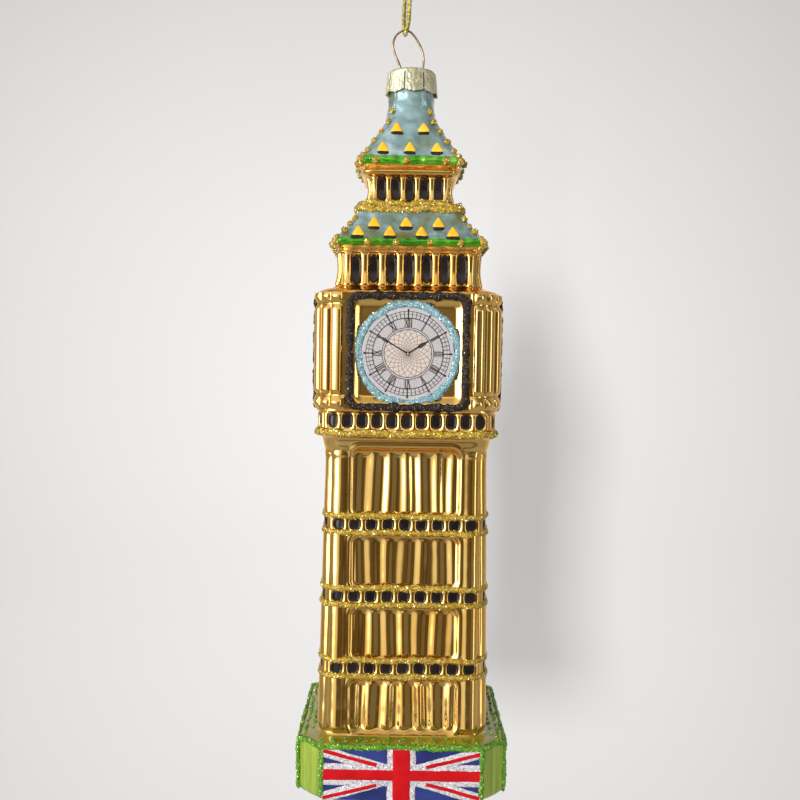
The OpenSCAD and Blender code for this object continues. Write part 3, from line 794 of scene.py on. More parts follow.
M_GOLD = gold_lustre()
M_ROOF_1 = roof_lacquer("roof_lacquer_upper", EAVE_1 + 0.1, BELFRY_1 + 0.5, 0.32)
M_ROOF_2 = roof_lacquer("roof_lacquer_lower", EAVE_2 - 0.3, BELFRY_2 + 0.4, 0.42)
M_BASE = base_lacquer()
M_BLACK = enamel("black_enamel", (0.004, 0.003, 0.003), (0.014, 0.009, 0.008), 0.08, coat=0.12,
                 specular=0.25)
M_YELLOW = enamel("yellow_enamel", (0.50, 0.245, 0.004), (0.66, 0.37, 0.015), 0.3, coat=0.4)
M_RED = enamel("red_enamel", (0.26, 0.001, 0.003), (0.34, 0.003, 0.006), 0.6, specular=0.2)
M_NAVY = enamel("navy_enamel", (0.005, 0.009, 0.06), (0.018, 0.030, 0.15), 0.35, 120, coat=0.15)
GOLD_GLITTER = (glitter_glue("gold_glitter_glue", (0.20, 0.11, 0.003), (0.55, 0.36, 0.03)),
                flake_foil("gold_flakes", (0.34, 0.21, 0.01), (0.62, 0.42, 0.04), (1.0, 0.92, 0.50)))
TEAL_GLITTER = (glitter_glue("teal_glitter_glue", (0.05, 0.14, 0.16), (0.20, 0.36, 0.40), 0.25),
                flake_foil("teal_flakes", (0.12, 0.26, 0.30), (0.34, 0.52, 0.56), (0.95, 1.0, 1.0), 0.3))
BLACK_GLITTER = (
    glitter_glue("black_glitter_glue", (0.005, 0.003, 0.002), (0.020, 0.012, 0.008), 0.1, 0.05, 0.3),
    flake_foil("black_flakes", (0.006, 0.004, 0.003), (0.014, 0.009, 0.007), (0.34, 0.28, 0.24), 0.3))
GREEN_GLITTER = (glitter_glue("green_glitter_glue", (0.03, 0.12, 0.006), (0.14, 0.36, 0.03), 0.4),
                 flake_foil("green_flakes", (0.05, 0.22, 0.01), (0.16, 0.46, 0.03), (0.66, 0.85, 0.20)))
WHITE_GLITTER = (glitter_glue("white_glitter_glue", (0.28, 0.26, 0.28), (0.56, 0.53, 0.56), 0.1),
                 flake_foil("white_flakes", (0.34, 0.31, 0.34), (0.62, 0.60, 0.64), (0.95, 0.95, 0.97), 0.35))
M_FILM = print_ink("dial_film", (0.225, 0.215, 0.22))
M_CREAM = print_ink("dial_cream", (0.275, 0.235, 0.21))
M_INK = print_ink("dial_ink", (0.012, 0.010, 0.012))
M_GREY_INK = print_ink("dial_grey_ink", (0.045, 0.038, 0.032))
M_PALE_INK = print_ink("dial_pale_ink", (0.13, 0.10, 0.085))
M_CAP = embossed_cap()
M_WIRE = dull_wire()
M_THREAD = metallic_thread()


# ---- camera, lights and stage ----

LENS, SENSOR = 45.6, 36
CAMERA_PLACE = (-1.6, -248, DIAL_Z - 1.3)
CAMERA_TIP, CAMERA_ROLL = 2.3, -0.9       # degrees


def add_camera():
    """Level with the dial's height, a quarter of a metre away, tipped a little down."""
    data = bpy.data.cameras.new("camera")
    data.lens, data.sensor_width = LENS, SENSOR
    data.clip_start = 0.01
    camera = bpy.data.objects.new("camera", data)
    camera.location = Vector(CAMERA_PLACE) * MM
    pitch, roll = math.radians(90 - CAMERA_TIP), math.radians(CAMERA_ROLL)
    camera.matrix_world = (Matrix.Translation(camera.location) @ Matrix.Rotation(pitch, 4, "X")
                           @ Matrix.Rotation(-roll, 4, "Z"))
    bpy.context.scene.collection.objects.link(camera)
    bpy.context.scene.camera = camera
    return camera


def add_area(name, place, aim, width, height, power, color=(1, 1, 1), spread=180):
    data = bpy.data.lights.new(name, "AREA")
    data.shape = "RECTANGLE"
    data.size, data.size_y = width, height
    data.energy = power
    data.color = color
    data.spread = math.radians(spread)
    lamp = bpy.data.objects.new(name, data)
    lamp.location = place
    lamp.rotation_euler = (Vector(aim) - Vector(place)).to_track_quat("-Z", "Y").to_euler()
    bpy.context.scene.collection.objects.link(lamp)
    return lamp


def add_world():
    """A pale room: bright at the left, dim and brown where the viewer stands."""
    world = bpy.data.worlds.new("room")
    bpy.context.scene.world = world
    world.use_nodes = True
    tree = world.node_tree
    direction = add_node(tree, "TexCoord").outputs["Generated"]
    split = add_node(tree, "SeparateXYZ", Vector=direction)
    x, y, z = (split.outputs[axis] for axis in "XYZ")
    patchy = add_node(tree, "TexNoise", Vector=direction, Scale=3.5, Detail=2).outputs["Fac"]
    around = mix_color(tree, remap(tree, x, -0.6, 0.6), (3.0, 2.95, 2.9), (0.60, 0.58, 0.52))
    above = times(tree, remap(tree, z, 0.14, 0.26), remap(tree, z, 0.55, 0.8, 1, 0),
                  remap(tree, y, -0.7, -0.4, 1, 0), remap(tree, x, 0.1, 0.7, 1, 0.3))
    around = mix_color(tree, above, around, (3.0, 2.9, 2.7))
    shade = ramp(tree, patchy, (0.35, (0.10, 0.055, 0.02)), (0.65, (0.34, 0.22, 0.10)))
    middle = ramp(tree, patchy, (0.35, (0.22, 0.15, 0.08)), (0.65, (0.60, 0.50, 0.33)))
    viewer = mix_color(tree, remap(tree, y, -0.97, -0.90, 1, 0), shade, middle)
    dark = times(tree, remap(tree, x, -0.38, -0.18), remap(tree, x, 0.40, 0.60, 1, 0),
                 remap(tree, y, -0.75, -0.6, 1, 0), remap(tree, z, 0.10, 0.24, 1, 0),
                 remap(tree, z, -0.42, -0.30))
    room = mix_color(tree, dark, around, viewer)
    below = remap(tree, z, -0.65, -0.35, 1, 0)
    dress(tree, tree.nodes["Background"], Strength=0.325,
          Color=mix_color(tree, below, room, (0.20, 0.15, 0.10)))


def add_stage():
    """A pale floor that rises behind into a plain wall, well clear of the ornament."""
    floor_z, radius, wall_y, width, top = -0.50, 0.25, 0.42, 3.0, 1.6      # metres
    profile = [(-0.45, floor_z), (wall_y - radius, floor_z)]
    for a in np.linspace(0, math.pi / 2, 13)[1:]:
        profile.append((wall_y - radius + radius * math.sin(a), floor_z + radius - radius * math.cos(a)))
    profile.append((wall_y, top))
    verts = [(x, y, z) for y, z in profile for x in (-width, width)]
    faces = [(2 * i, 2 * i + 1, 2 * i + 3, 2 * i + 2) for i in range(len(profile) - 1)]
    mesh = bpy.data.meshes.new("stage")
    mesh.from_pydata(verts, [], faces)
    for f in mesh.polygons:
        f.use_smooth = True
    m, tree, shader = new_material("stage_paper", (0.59, 0.59, 0.595), 0, 0.9)
    dress(tree, shader, Base_Color=ramp(tree, noise(tree, 3, Detail=2), (0.2, (0.575, 0.575, 0.58)),
                                        (0.8, (0.605, 0.605, 0.61))))
    mesh.materials.append(m)
    stage = bpy.data.objects.new("stage", mesh)
    bpy.context.scene.collection.objects.link(stage)


add_camera()
add_world()
add_stage()
add_area("window_left", (-0.74, -0.44, -0.05), (0, 0, -0.12), 0.62, 1.1, 1.35, (1.0, 0.99, 0.97), 48)
add_area("window_right", (0.62, -0.30, -0.05), (0, 0, -0.12), 0.12, 0.8, 0.16, (1.0, 0.96, 0.90), 80)
key = add_area("soft_key", (-0.135, -0.68, -0.04), (-0.02, 0.2, -0.13), 0.08, 0.08, 0.82,
               (1.0, 0.995, 0.985), 58)
fill = add_area("wall_fill", (-0.9, -0.1, 0.3), (-0.30, 0.42, -0.14), 0.4, 0.6, 0.68, spread=60)
key.visible_glossy = fill.visible_glossy = False
bpy.context.scene.view_settings.view_transform = "Standard"


# ---- thread loop and knot ----

STRAND = [
    (0, 0, -45.9), (0.1, -0.8, -45.7), (0.3, -1.4, -45.0), (0.5, -1.6, -44.0),
    (0.6, -1.3, -42.5), (0.6, -0.7, -41.0), (0.6, -0.2, -39.0), (0.6, 0, -36.0),
    (0.6, 0, -30.0), (0.7, 0, -22.0), (1.1, 0, -14.0), (1.6, 0, -8.0),
    (1.9, 0, -4.0), (1.9, 0, -1.8), (1.4, 0, -0.2)]
LOOP_TOP = (0, 0, 0.5)
CROWN_X = -1.6
THREAD_D = 1.0
TWIST_PITCH = 1.03
TAIL_R = 0.46


def strand_point(p, turn):
    return (CROWN_X * p[2] / CROWN_Z + turn * p[0], turn * p[1], p[2])


def thread_loop():
    route = ([strand_point(p, 1) for p in STRAND] + [LOOP_TOP]
             + [strand_point(p, -1) for p in reversed(STRAND)])
    path = resample(route, 0.11)
    shape = 0.5 * THREAD_D * 1.08 * twist_of(path, TWIST_PITCH, 14, 0.36)
    verts, faces = sweep(path, shape, 14, up=(0.2, 1, 0.1))
    piece = add_mesh("thread_loop", verts, faces, M_THREAD, "thread")
    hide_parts("hanging_cord")
    length = float(np.linalg.norm(np.diff(path, axis=0), axis=1).sum())
    return piece, path, length


def thread_knot():
    """An overhand knot with two short, frayed tails."""
    t = turns(220)
    knot = 0.43 * np.stack([np.sin(t) + 2 * np.sin(2 * t), -np.sin(3 * t),
                            np.cos(t) - 2 * np.cos(2 * t)], axis=1)
    knot[:, 2] += 1.75
    parts = [sweep(knot, TAIL_R * twist_of(knot, TWIST_PITCH, 12, 0.2), 12, closed=True)]
    for lean, bend in ((-0.42, -0.5), (0.32, 0.6)):
        s = np.linspace(0, 1, 60)[:, None]
        tail = np.array([[0, 0, 2.2]]) + s * np.array([[6 * math.sin(lean), 0, 5.4 * math.cos(lean)]])
        tail = tail + np.sin(s * math.pi) * np.array([[0.25 * bend, 0.3 * bend, 0]])
        parts.append(sweep(tail, TAIL_R * twist_of(tail, TWIST_PITCH, 12, 0.2), 12, up=(0, 1, 0)))
        for _ in range(9):
            fan = rng.normal(scale=0.28, size=3)
            fan[2] = rng.uniform(0.3, 0.7)
            start = tail[-1] + rng.normal(scale=0.16, size=3) * (1, 1, 0) - (0, 0, 0.2)
            fray = start + np.linspace(0, 1, 6)[:, None] * fan[None, :]
            parts.append(sweep(fray, 0.07, 5, up=(0, 1, 0)))
    verts, faces = join_parts(parts)
    piece = add_mesh("thread_knot", verts, faces, M_THREAD, "thread")
    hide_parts("cord_knot")
    return piece


LOOP, LOOP_PATH, LOOP_LENGTH = thread_loop()
KNOT = thread_knot()


# ---- bail and cap ----

BAIL = [
    (-4.1, -17.5), (-3.9, -13), (-3.2, -8), (-2.7, -5), (-2.6, -4), (-2.6, -2), (-2.6, 0),
    (-2.7, 0.9), (-3.2, 2.4), (-4.1, 4.4), (-4.6, 6.2), (-4.4, 7.9), (-3.6, 9.2),
    (-2.6, 9.9), (-1.6, 10.1), (-0.6, 9.8), (0.6, 8.6), (1.6, 7.1), (2.4, 5.4), (2.8, 3.8),
    (2.8, 2.2), (2.65, 0.9), (2.6, 0), (2.6, -2), (2.6, -4), (2.7, -5), (3.2, -8),
    (3.9, -13), (4.1, -17.5)]


def wire_bail():
    """Spring wire with a slightly hand-bent loop and nipped ends."""
    path = resample([(x, 0, CAP_TOP + z) for x, z in BAIL], 0.25)
    radius = 0.27 * (1 + 0.03 * wave_noise(path, 1.5, 3))
    radius[[0, -1]] *= 0.6
    verts, faces = sweep(path, radius[:, None], 14, up=(0, 1, 0))
    piece = add_mesh("bail_wire", verts, faces, M_WIRE, "bail")
    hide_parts("wire_bail")
    return piece


CAP_FLAT, CAP_SHOULDER, CAP_SKIRT = 4.9, 1.35, 4.9     # runs along the skin, from the middle
SHEET = 0.22
SCALLOP = 0.75
LEG_X, HOLE_R = 2.6, 0.45
SLIT_EDGE = 0.466       # share of a petal, from its middle


def cap_profile(s):
    """Radius and depth of the cap's outer skin at distance s from its centre."""
    past = s - CAP_FLAT - CAP_SHOULDER
    turn = np.clip((s - CAP_FLAT) / CAP_SHOULDER, 0, 1) * math.pi / 2
    r = np.minimum(s, CAP_FLAT) + 0.95 * np.sin(turn) + 0.35 * np.clip(past / CAP_SKIRT, 0, 1)
    return r, -0.85 * (1 - np.cos(turn)) - np.maximum(past, 0)


def crimped_cap():
    """Eight embossed petals parted by slits, with scalloped lower edges."""
    petals, columns, rows = 8, 384, 60
    angle = turns(columns)[None, :]
    phase = ((angle - math.radians(6)) * petals / (2 * math.pi) + 0.5) % 1 - 0.5
    longest = CAP_FLAT + CAP_SHOULDER + 5.0 - SCALLOP + SCALLOP * (1 - 2 * np.abs(phase)) ** 0.7
    s = np.linspace(0.02, 1, rows)[:, None] * longest
    r, z = cap_profile(s)
    below = np.clip((s - 6.2) / 4, 0, 1)
    bow = 0.16 * below * np.cos(phase * math.pi)
    emboss = 0.07 * wave_noise(np.stack([np.broadcast_to(r * np.cos(angle), s.shape).ravel(),
                                         (r * np.sin(angle)).ravel(), z.ravel()], axis=1), 0.9, 11)
    emboss = emboss.reshape(s.shape) * smooth(5.6, 6.6, s) * smooth(0.5, 0.38, np.abs(phase))
    r = r + bow + emboss
    points = [np.stack([rr * np.cos(angle), rr * np.sin(angle), CAP_TOP + z - dz], axis=-1).reshape(-1, 3)
              for rr, dz in ((r, 0.0), (np.maximum(r - SHEET, 0.01), SHEET * smooth(6, 4, s)))]
    quads = grid_faces(rows, columns, True)
    row, column = quads[:, 0] // columns, quads[:, 0] % columns
    middle_s = s[row, column]
    in_slit = (np.abs(phase[0, column]) > SLIT_EDGE) & (middle_s > 6.5)
    x, y = r[row, column] * np.cos(angle[0, column]), r[row, column] * np.sin(angle[0, column])
    in_hole = (np.hypot(np.abs(x) - LEG_X, y) < HOLE_R) & (middle_s < 5)
    keep = ~(in_slit | in_hole)
    outer, inner = quads[keep], quads[keep] + rows * columns
    edges = {}
    for q in outer:
        for a, b in zip(q, np.roll(q, -1)):
            if (b, a) in edges:
                del edges[(b, a)]
            else:
                edges[(a, b)] = True
    walls = np.array([(b, a, a + rows * columns, b + rows * columns) for a, b in edges])
    piece = add_mesh("crimped_cap", np.concatenate(points), [outer, inner[:, ::-1], walls], M_CAP, "cap")
    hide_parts("ornament_cap")
    return piece


wire_bail()
crimped_cap()


# ---- glass stages ----

STAGES = (
    ("neck_and_upper_roof", NECK[:-1] + UPPER_ROOF, M_ROOF_1, 0.22, 0.24),
    ("upper_belfry", UPPER_BELFRY, M_GOLD, 0.15, 0.14),
    ("lower_roof", LOWER_ROOF, M_ROOF_2, 0.2, 0.22),
    ("lower_belfry", LOWER_BELFRY, M_GOLD, 0.16, 0.16),
    ("clock_stage", CLOCK_STAGE, M_GOLD, 0.26, 0.2),
    ("cornice", CORNICE, M_GOLD, 0.25, 0.2),
    ("shaft_1", shaft_piece(LINE_Z[0], LINE_Z[2]), M_GOLD, 0.25, 0.2),
    ("shaft_2", shaft_piece(LINE_Z[2], LINE_Z[4]), M_GOLD, 0.25, 0.2),
    ("shaft_3", shaft_piece(LINE_Z[4], LINE_Z[5]), M_GOLD, 0.2, 0.2),
    ("shaft_foot", BASE_TOP, M_GOLD, 0.22, 0.2),
    ("base", BASE_BLOCK, M_BASE, 0.4, 0.5, False))
stages = [glass_stage(*stage) for stage in STAGES]
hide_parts("glass_body")


# ---- enamel patches that follow the glass ----

def oval(w, h, power=3):
    def radial(phi):
        c, s = np.abs(np.cos(phi)) / (w / 2), np.abs(np.sin(phi)) / (h / 2)
        return (c ** power + s ** power) ** (-1 / power)
    return radial


def gable(w, h):
    """A triangle with softened corners, its middle at a third of its height."""
    lean = math.atan2(w / 2, h)
    edges = [(0, -1, h * 0.36), (math.cos(lean), math.sin(lean), 0.64 * h * math.sin(lean) + 0.02),
             (-math.cos(lean), math.sin(lean), 0.64 * h * math.sin(lean) + 0.02)]

    def radial(phi):
        total = sum(np.maximum(0, (nx * np.cos(phi) + nz * np.sin(phi)) / d) ** 4 for nx, nz, d in edges)
        return np.maximum(total, 1e-9) ** (-1 / 4)
    return radial


def patch(side, x, z, radial, height, rings=7, segments=28, edge_wobble=0.04):
    """A puffy patch on the glass: a grid of rings out to its outline, then down into the glass."""
    phi = turns(segments)
    edge = radial(phi) * (1 + edge_wobble * rng.normal(size=segments) * 0.5)
    edge = (np.roll(edge, 1) + 2 * edge + np.roll(edge, -1)) / 4
    rho = np.append(np.linspace(0, 1, rings + 1)[1:], 1.0)[:, None]
    lift = 0.03 + height * (1 - rho ** 4)
    lift[-1] = -0.12
    px = x + rho * edge * np.cos(phi)
    pz = z + rho * edge * np.sin(phi)
    verts = on_glass(side, px, pz, lift).reshape(-1, 3)
    middle = on_glass(side, [x], [z], 0.03 + height)
    spokes = np.arange(segments)
    fan = np.stack([0 * spokes, 1 + spokes, 1 + (spokes + 1) % segments], axis=1)
    quads = grid_faces(rings + 1, segments, True) + 1
    return np.concatenate([middle, verts]), [fan, quads]


def on_all_sides(maker):
    """The same patches on the four sides, joined."""
    return join_parts([part for side in range(4) for part in maker(side)])


def row_of(count, pitch, offset=0.0):
    return [(i - (count - 1) / 2) * pitch + offset for i in range(count)]


def pane_piece(name, node, maker, material):
    verts, faces = on_all_sides(maker)
    piece = add_mesh(name, verts, faces, material, "glass")
    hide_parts(node)


# name, CAD node, rows of windows, outline, thickness, wobble of the edge
PANES = (
    ("belfry_panes_upper", "upper_belfry_windows", [ROW_1], oval(2.05, 5.7, 2.4), 0.1, 0.14),
    ("belfry_panes_lower", "lower_belfry_windows", [ROW_2], oval(2.05, 7.4, 2.8), 0.1, 0.14),
    ("arcade_panes", "arcade_windows", [ROW_ARCADE], oval(2.3, 3.3, 2.5), 0.1, 0.04),
    ("shaft_panes", "shaft_windows", ROW_BANDS, oval(2.6, 2.5, 4), 0.08, 0.04))
for name, node, rows, outline, thickness, wobble in PANES:
    pane_piece(name, node, lambda s: [patch(s, x, row["zc"], outline, thickness, edge_wobble=wobble)
                                      for row in rows for x in row_of(row["count"], row["pitch"])],
               M_BLACK)

GABLE_W, GABLE_H = 3.2, 2.8
DORMERS_1, DORMERS_2 = (
    [(x, z) for z, row in rows for x in row_of(*row)] for rows in (
        ((ROOF_1 - 6.4, (2, 6.4, -0.2)), (EAVE_1 + 1.2, (3, 6.3, -0.2))),
        ((ROOF_2 - 2.8, (3, 7.4, -0.8)), (EAVE_2 + 0.2, (4, 7.2, -0.9)))))


def dormer_gables(side, places):
    return [patch(side, x, z + 0.36 * GABLE_H, gable(GABLE_W, GABLE_H), 0.22, segments=36) for x, z in places]


def dormer_openings(side, places):
    return [patch(side, x + rng.normal(0, 0.08), z - 0.35,
                  oval(GABLE_W * rng.uniform(0.9, 1.0), rng.uniform(0.8, 1.05), 3.5),
                  0.12, rings=5, edge_wobble=0.25) for x, z in places]


for where, places in (("upper", DORMERS_1), ("lower", DORMERS_2)):
    pane_piece(f"dormer_gables_{where}", f"{where}_dormer_gables",
               lambda s: dormer_gables(s, places), M_YELLOW)
    pane_piece(f"dormer_openings_{where}", f"{where}_dormer_openings",
               lambda s: dormer_openings(s, places), M_BLACK)


# ---- cured glitter glue ----

def glue_and_flakes(name, parts, glitter, nodes, per_mm2, size, tilt=0.5):
    """A piece of glue with its flakes beside it, standing for CAD nodes."""
    glue, foil = glitter
    verts, faces = join_parts(parts)
    piece = add_mesh(name, verts, faces, glue, "glass")
    flake_verts, flake_faces = flakes_on(verts, faces, per_mm2, size, tilt)
    flakes = add_mesh(name + "_flakes", flake_verts, flake_faces, foil, "glass", smooth_shading=False)
    if nodes:
        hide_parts(*nodes)
    return piece


def ring_path(z, lift, wobble, seed):
    """A closed line round the glass at height z."""
    half, cut, _ = row_at(z)
    reach = float(reach_of(half, cut))
    x = np.linspace(-reach, reach, int(2 * reach / 0.3), endpoint=False)
    points = np.concatenate([on_glass(side, x, np.full(len(x), z), lift, False) for side in range(4)])
    points[:, 2] += wobble * wave_noise(points, 6, seed)
    return points


def glue_line(path, width, depth, seed, closed=True, facing=(0, 0, 1)):
    """A squeezed line of glue, width along facing and depth outwards, with lumps."""
    sides = 10
    angle = turns(sides)
    shape = 1 / np.sqrt((np.cos(angle) / (depth / 2)) ** 2 + (np.sin(angle) / (width / 2)) ** 2)
    swell = 1 + 0.22 * wave_noise(path, 2.2, seed)[:, None]
    verts, faces = sweep(path, shape[None, :] * swell, sides, closed=closed, up=facing)
    line = np.repeat(path, sides, axis=0)
    return lumpy(verts, line, 0.14, 0.8, seed + 1), faces


def gold_glitter(name, parts, node, size):
    glue_and_flakes(name, parts, GOLD_GLITTER, [node], 9, size)


for i, line in enumerate(LINES):
    gold_glitter("glitter_" + line, [glue_line(ring_path(LINE_Z[i], 0.25, 0.18, 20 + i), 1.35, 1.15, 40 + i)],
                 "glitter_line_" + line, 0.26)
gold_glitter("glitter_arcade_line", [glue_line(ring_path(ARCADE_LINE, 0.2, 0.2, 31), 1.5, 1.2, 51)],
             "arcade_glitter_line", 0.26)
gold_glitter("glitter_roof_collar",
             [glue_line(ring_path(COLLAR - 0.5 - 1.15 * i, 0.2 + 0.1 * i, 0.35, 60 + i), 1.6, 1.0, 70 + i)
              for i in range(2)], "roof_collar_glitter", 0.28)


def bead(centre, d, seed):
    """A drop of glitter glue."""
    rows, columns = 12, 18
    theta = np.linspace(0.02, math.pi - 0.02, rows)[:, None]
    phi = turns(columns)[None, :]
    ball = np.stack([np.sin(theta) * np.cos(phi), np.sin(theta) * np.sin(phi),
                     np.broadcast_to(np.cos(theta), (rows, columns))], axis=-1).reshape(-1, 3)
    verts = centre + ball * (d / 2) * (1 + 0.12 * wave_noise(ball * d + centre, 0.9, seed))[:, None]
    ends = [np.arange(columns)[None, ::-1], (np.arange(columns) + (rows - 1) * columns)[None, :]]
    return verts, [grid_faces(rows, columns, True)] + ends


def corner_point(side, z, lift):
    half, cut, _ = row_at(z)
    return on_glass(side, reach_of(half, cut), z, lift, False)


def roof_beads(hip_top, hip_foot, per_hip, eave_z, eave_xs, seed):
    parts = []
    for side in range(4):
        for i in range(per_hip):
            z = hip_top + (hip_foot - hip_top) * i / (per_hip - 1)
            parts.append(bead(corner_point(side, z, 0.3) + (0, 0, rng.normal(0, 0.15)),
                              rng.uniform(1.2, 1.5), seed + i))
        for x in eave_xs:
            spot = on_glass(side, x + rng.normal(0, 0.25), eave_z, 0.15, False)
            parts.append(bead(spot, rng.uniform(1.35, 1.7), seed + 7))
        for drop, d in ((0.1, 1.3), (1.0, 1.7), (1.9, 1.4), (2.7, 0.9)):
            at = corner_point(side, eave_z + 1.3 - drop, 0.15)
            parts.append(bead(at + rng.normal(0, 0.12, 3), d, seed + 9))
    return parts


gold_glitter("bead_row_upper",
             roof_beads(ROOF_1 - 1.0, EAVE_1 + 1.6, 5, EAVE_1 - 1.2, row_of(3, 8.0, -0.4), 80),
             "upper_roof_beads", 0.28)
gold_glitter("bead_row_lower",
             roof_beads(ROOF_2 - 0.6, EAVE_2 + 1.4, 3, EAVE_2 - 1.4, row_of(4, 6.9, 0.8), 90),
             "lower_roof_beads", 0.28)


# ---- dials ----

def facing(points, side, distance):
    """Points (x, z, out) drawn on a side's face, out measured from distance."""
    points = np.asarray(points, float)
    x, y = quarter_turn(points[:, 0], -(distance + points[:, 2]), side)
    return np.stack([x, y, points[:, 1]], axis=1)


def ring_points(r, a, out, middle=(0, 0)):
    return np.stack([middle[0] + r * np.cos(a), middle[1] + r * np.sin(a), np.full(len(a), out)], axis=1)


def lathe_disc(profile, segments=128):
    """Rings of (radius, out) swept round the dial's middle."""
    phi = turns(segments)
    rings = [ring_points(r, phi, out) for r, out in profile]
    return np.concatenate(rings), [grid_faces(len(profile), segments, True)[:, ::-1],
                                   (np.arange(segments) + (len(profile) - 1) * segments)[None, :]]


def printed_ring(r0, r1, out, steps=119):
    """A thin flat ring between two radii."""
    a = np.linspace(0, 2 * math.pi, steps + 1)
    rings = [np.stack([r * np.sin(a), r * np.cos(a), np.full(len(a), out)], axis=1) for r in (r0, r1)]
    return np.concatenate(rings), [grid_faces(2, steps + 1, False)[:, ::-1]]


def printed_spot(centre, r, out):
    return ring_points(r, turns(14), out, centre), [np.arange(14)[None, :]]


def stroke(a, b, width, out, tip_width=None):
    """A straight printed line from a to b."""
    a, b = np.asarray(a, float), np.asarray(b, float)
    along = (b - a) / np.linalg.norm(b - a)
    across = np.array([along[1], -along[0]])
    tip = width if tip_width is None else tip_width
    corners = [a - across * width / 2, a + across * width / 2, b + across * tip / 2, b - across * tip / 2]
    return np.array([[*c, out] for c in corners]), [np.array([[0, 1, 2, 3]])]


def at_clock(angle, r, offset=0.0):
    """A point at radius r, moved sideways by offset, at a clockwise angle from twelve."""
    return np.array([r * math.sin(angle) + offset * math.cos(angle),
                     r * math.cos(angle) - offset * math.sin(angle)])


def spoke(angle, r0, r1, width, out, tip_width=None):
    return stroke(at_clock(angle, r0), at_clock(angle, r1), width, out, tip_width)


NUMERALS = ["XII", "I", "II", "III", "IIII", "V", "VI", "VII", "VIII", "IX", "X", "XI"]
R_MINUTE, R_TRACK, R_ROSE, R_ROSE_OUT = 9.45, 7.95, 5.25, 5.9
WIDTHS = {"I": 0.42, "V": 0.95, "X": 0.95}


def numeral_strokes(text, angle, out):
    """A numeral standing between the rosette and the minute track, its foot to the middle."""
    parts = []
    x = -sum(WIDTHS[c] for c in text) / 2
    foot, head = R_ROSE_OUT + 0.12, R_TRACK - 0.15
    for c in text:
        w = WIDTHS[c]
        left, right, middle = x + 0.08, x + w - 0.08, x + w / 2
        if c == "I":
            pairs = [(middle, middle, 0.3)]
        elif c == "V":
            pairs = [(left, middle, 0.32), (right, middle, 0.2)]
        else:
            pairs = [(left, right, 0.32), (right, left, 0.2)]
        for top, bottom, width in pairs:
            parts.append(stroke(at_clock(angle, foot, bottom), at_clock(angle, head, top), width, out))
        x += w
    for r in (foot, head):
        half = sum(WIDTHS[c] for c in text) / 2
        parts.append(stroke(at_clock(angle, r, -half), at_clock(angle, r, half), 0.12, out))
    return parts


def dial_ink(out):
    parts = [printed_ring(R_MINUTE - 0.08, R_MINUTE + 0.06, out),
             printed_ring(R_TRACK - 0.11, R_TRACK + 0.11, out)]
    for i in range(12):
        angle = math.radians(30 * i)
        parts += [spoke(angle, R_TRACK - 0.3, R_MINUTE + 0.3, 0.3, out),
                  printed_spot(at_clock(angle, R_MINUTE + 0.32), 0.26, out),
                  spoke(angle, R_ROSE_OUT, R_TRACK, 0.13, out)]
    return parts


def dial_grey(out):
    parts = [printed_ring(R_ROSE, R_ROSE + 0.2, out), printed_ring(R_ROSE_OUT - 0.2, R_ROSE_OUT, out)]
    parts += [spoke(math.radians(6 * i), R_TRACK, R_MINUTE, 0.2, out) for i in range(60) if i % 5]
    middle = (R_TRACK + R_MINUTE) / 2 + 0.1
    parts.append(printed_ring(middle - 0.05, middle + 0.05, out))
    for i, text in enumerate(NUMERALS):
        parts += numeral_strokes(text, math.radians(30 * i), out)
    return parts


def dial_pale(out):
    """Faint radial bars behind the numerals and the rosette's curved lattice."""
    parts = [spoke(math.radians(5 * i + 2.5), R_ROSE_OUT + 0.1, R_TRACK - 0.1, 0.07, out) for i in range(72)]
    arms, steps, hub_r = 20, 18, 0.75
    r = np.geomspace(hub_r, R_ROSE, steps)
    width = 0.05 + 0.05 * r / R_ROSE
    for direction in (-1, 1):
        for i in range(arms):
            a = 2 * math.pi * i / arms + direction * 0.8 * np.log(r / hub_r)
            edges = [np.stack([r * np.sin(edge), r * np.cos(edge), np.full(steps, out)], axis=1)
                     for edge in (a - width / r, a + width / r)]
            parts.append((np.concatenate(edges), [grid_faces(2, steps, False)]))
    parts.append(printed_ring(0.55, hub_r, out))
    return parts


def dial_hands(out):
    """Printed hands at ten to two, with a spade on the hour hand and a ring at the hub."""
    minute, hour = math.radians(300), math.radians(58)
    bars = ((minute, 0.3, 5.3, 0.34, None), (minute, 5.1, 6.6, 0.75, 0.3), (minute, 6.5, 9.6, 0.36, 0.2),
            (hour, 0.3, 3.1, 0.36, None), (hour, 2.6, 3.4, 0.36, 1.05), (hour, 3.4, 5.7, 1.05, 0.12))
    return [spoke(angle, r0, r1, width, out, tip) for angle, r0, r1, width, tip in bars] + [
        printed_ring(0.2, 0.5, out)]


FILM_TOP, CREAM_TOP, PALE_TOP, GREY_TOP, INK_TOP, HANDS_TOP = 0.56, 0.57, 0.576, 0.58, 0.584, 0.59
FILM_EDGE = [(DIAL_R, 0.0), (DIAL_R, 0.42), (DIAL_R - 0.05, 0.52), (DIAL_R - 0.2, FILM_TOP), (0.4, FILM_TOP)]
CREAM_EDGE = [(R_ROSE, FILM_TOP), (R_ROSE, CREAM_TOP), (0.4, CREAM_TOP)]
DIAL_LAYERS = (
    ("film", [lathe_disc(FILM_EDGE)], M_FILM), ("cream", [lathe_disc(CREAM_EDGE)], M_CREAM),
    ("pale_print", dial_pale(PALE_TOP), M_PALE_INK), ("grey_print", dial_grey(GREY_TOP), M_GREY_INK),
    ("ink_print", dial_ink(INK_TOP), M_INK), ("hands", dial_hands(HANDS_TOP), M_INK))
GLUE_OUT = 0.35     # the middle of the rim's and frame's glue, out from the face behind it


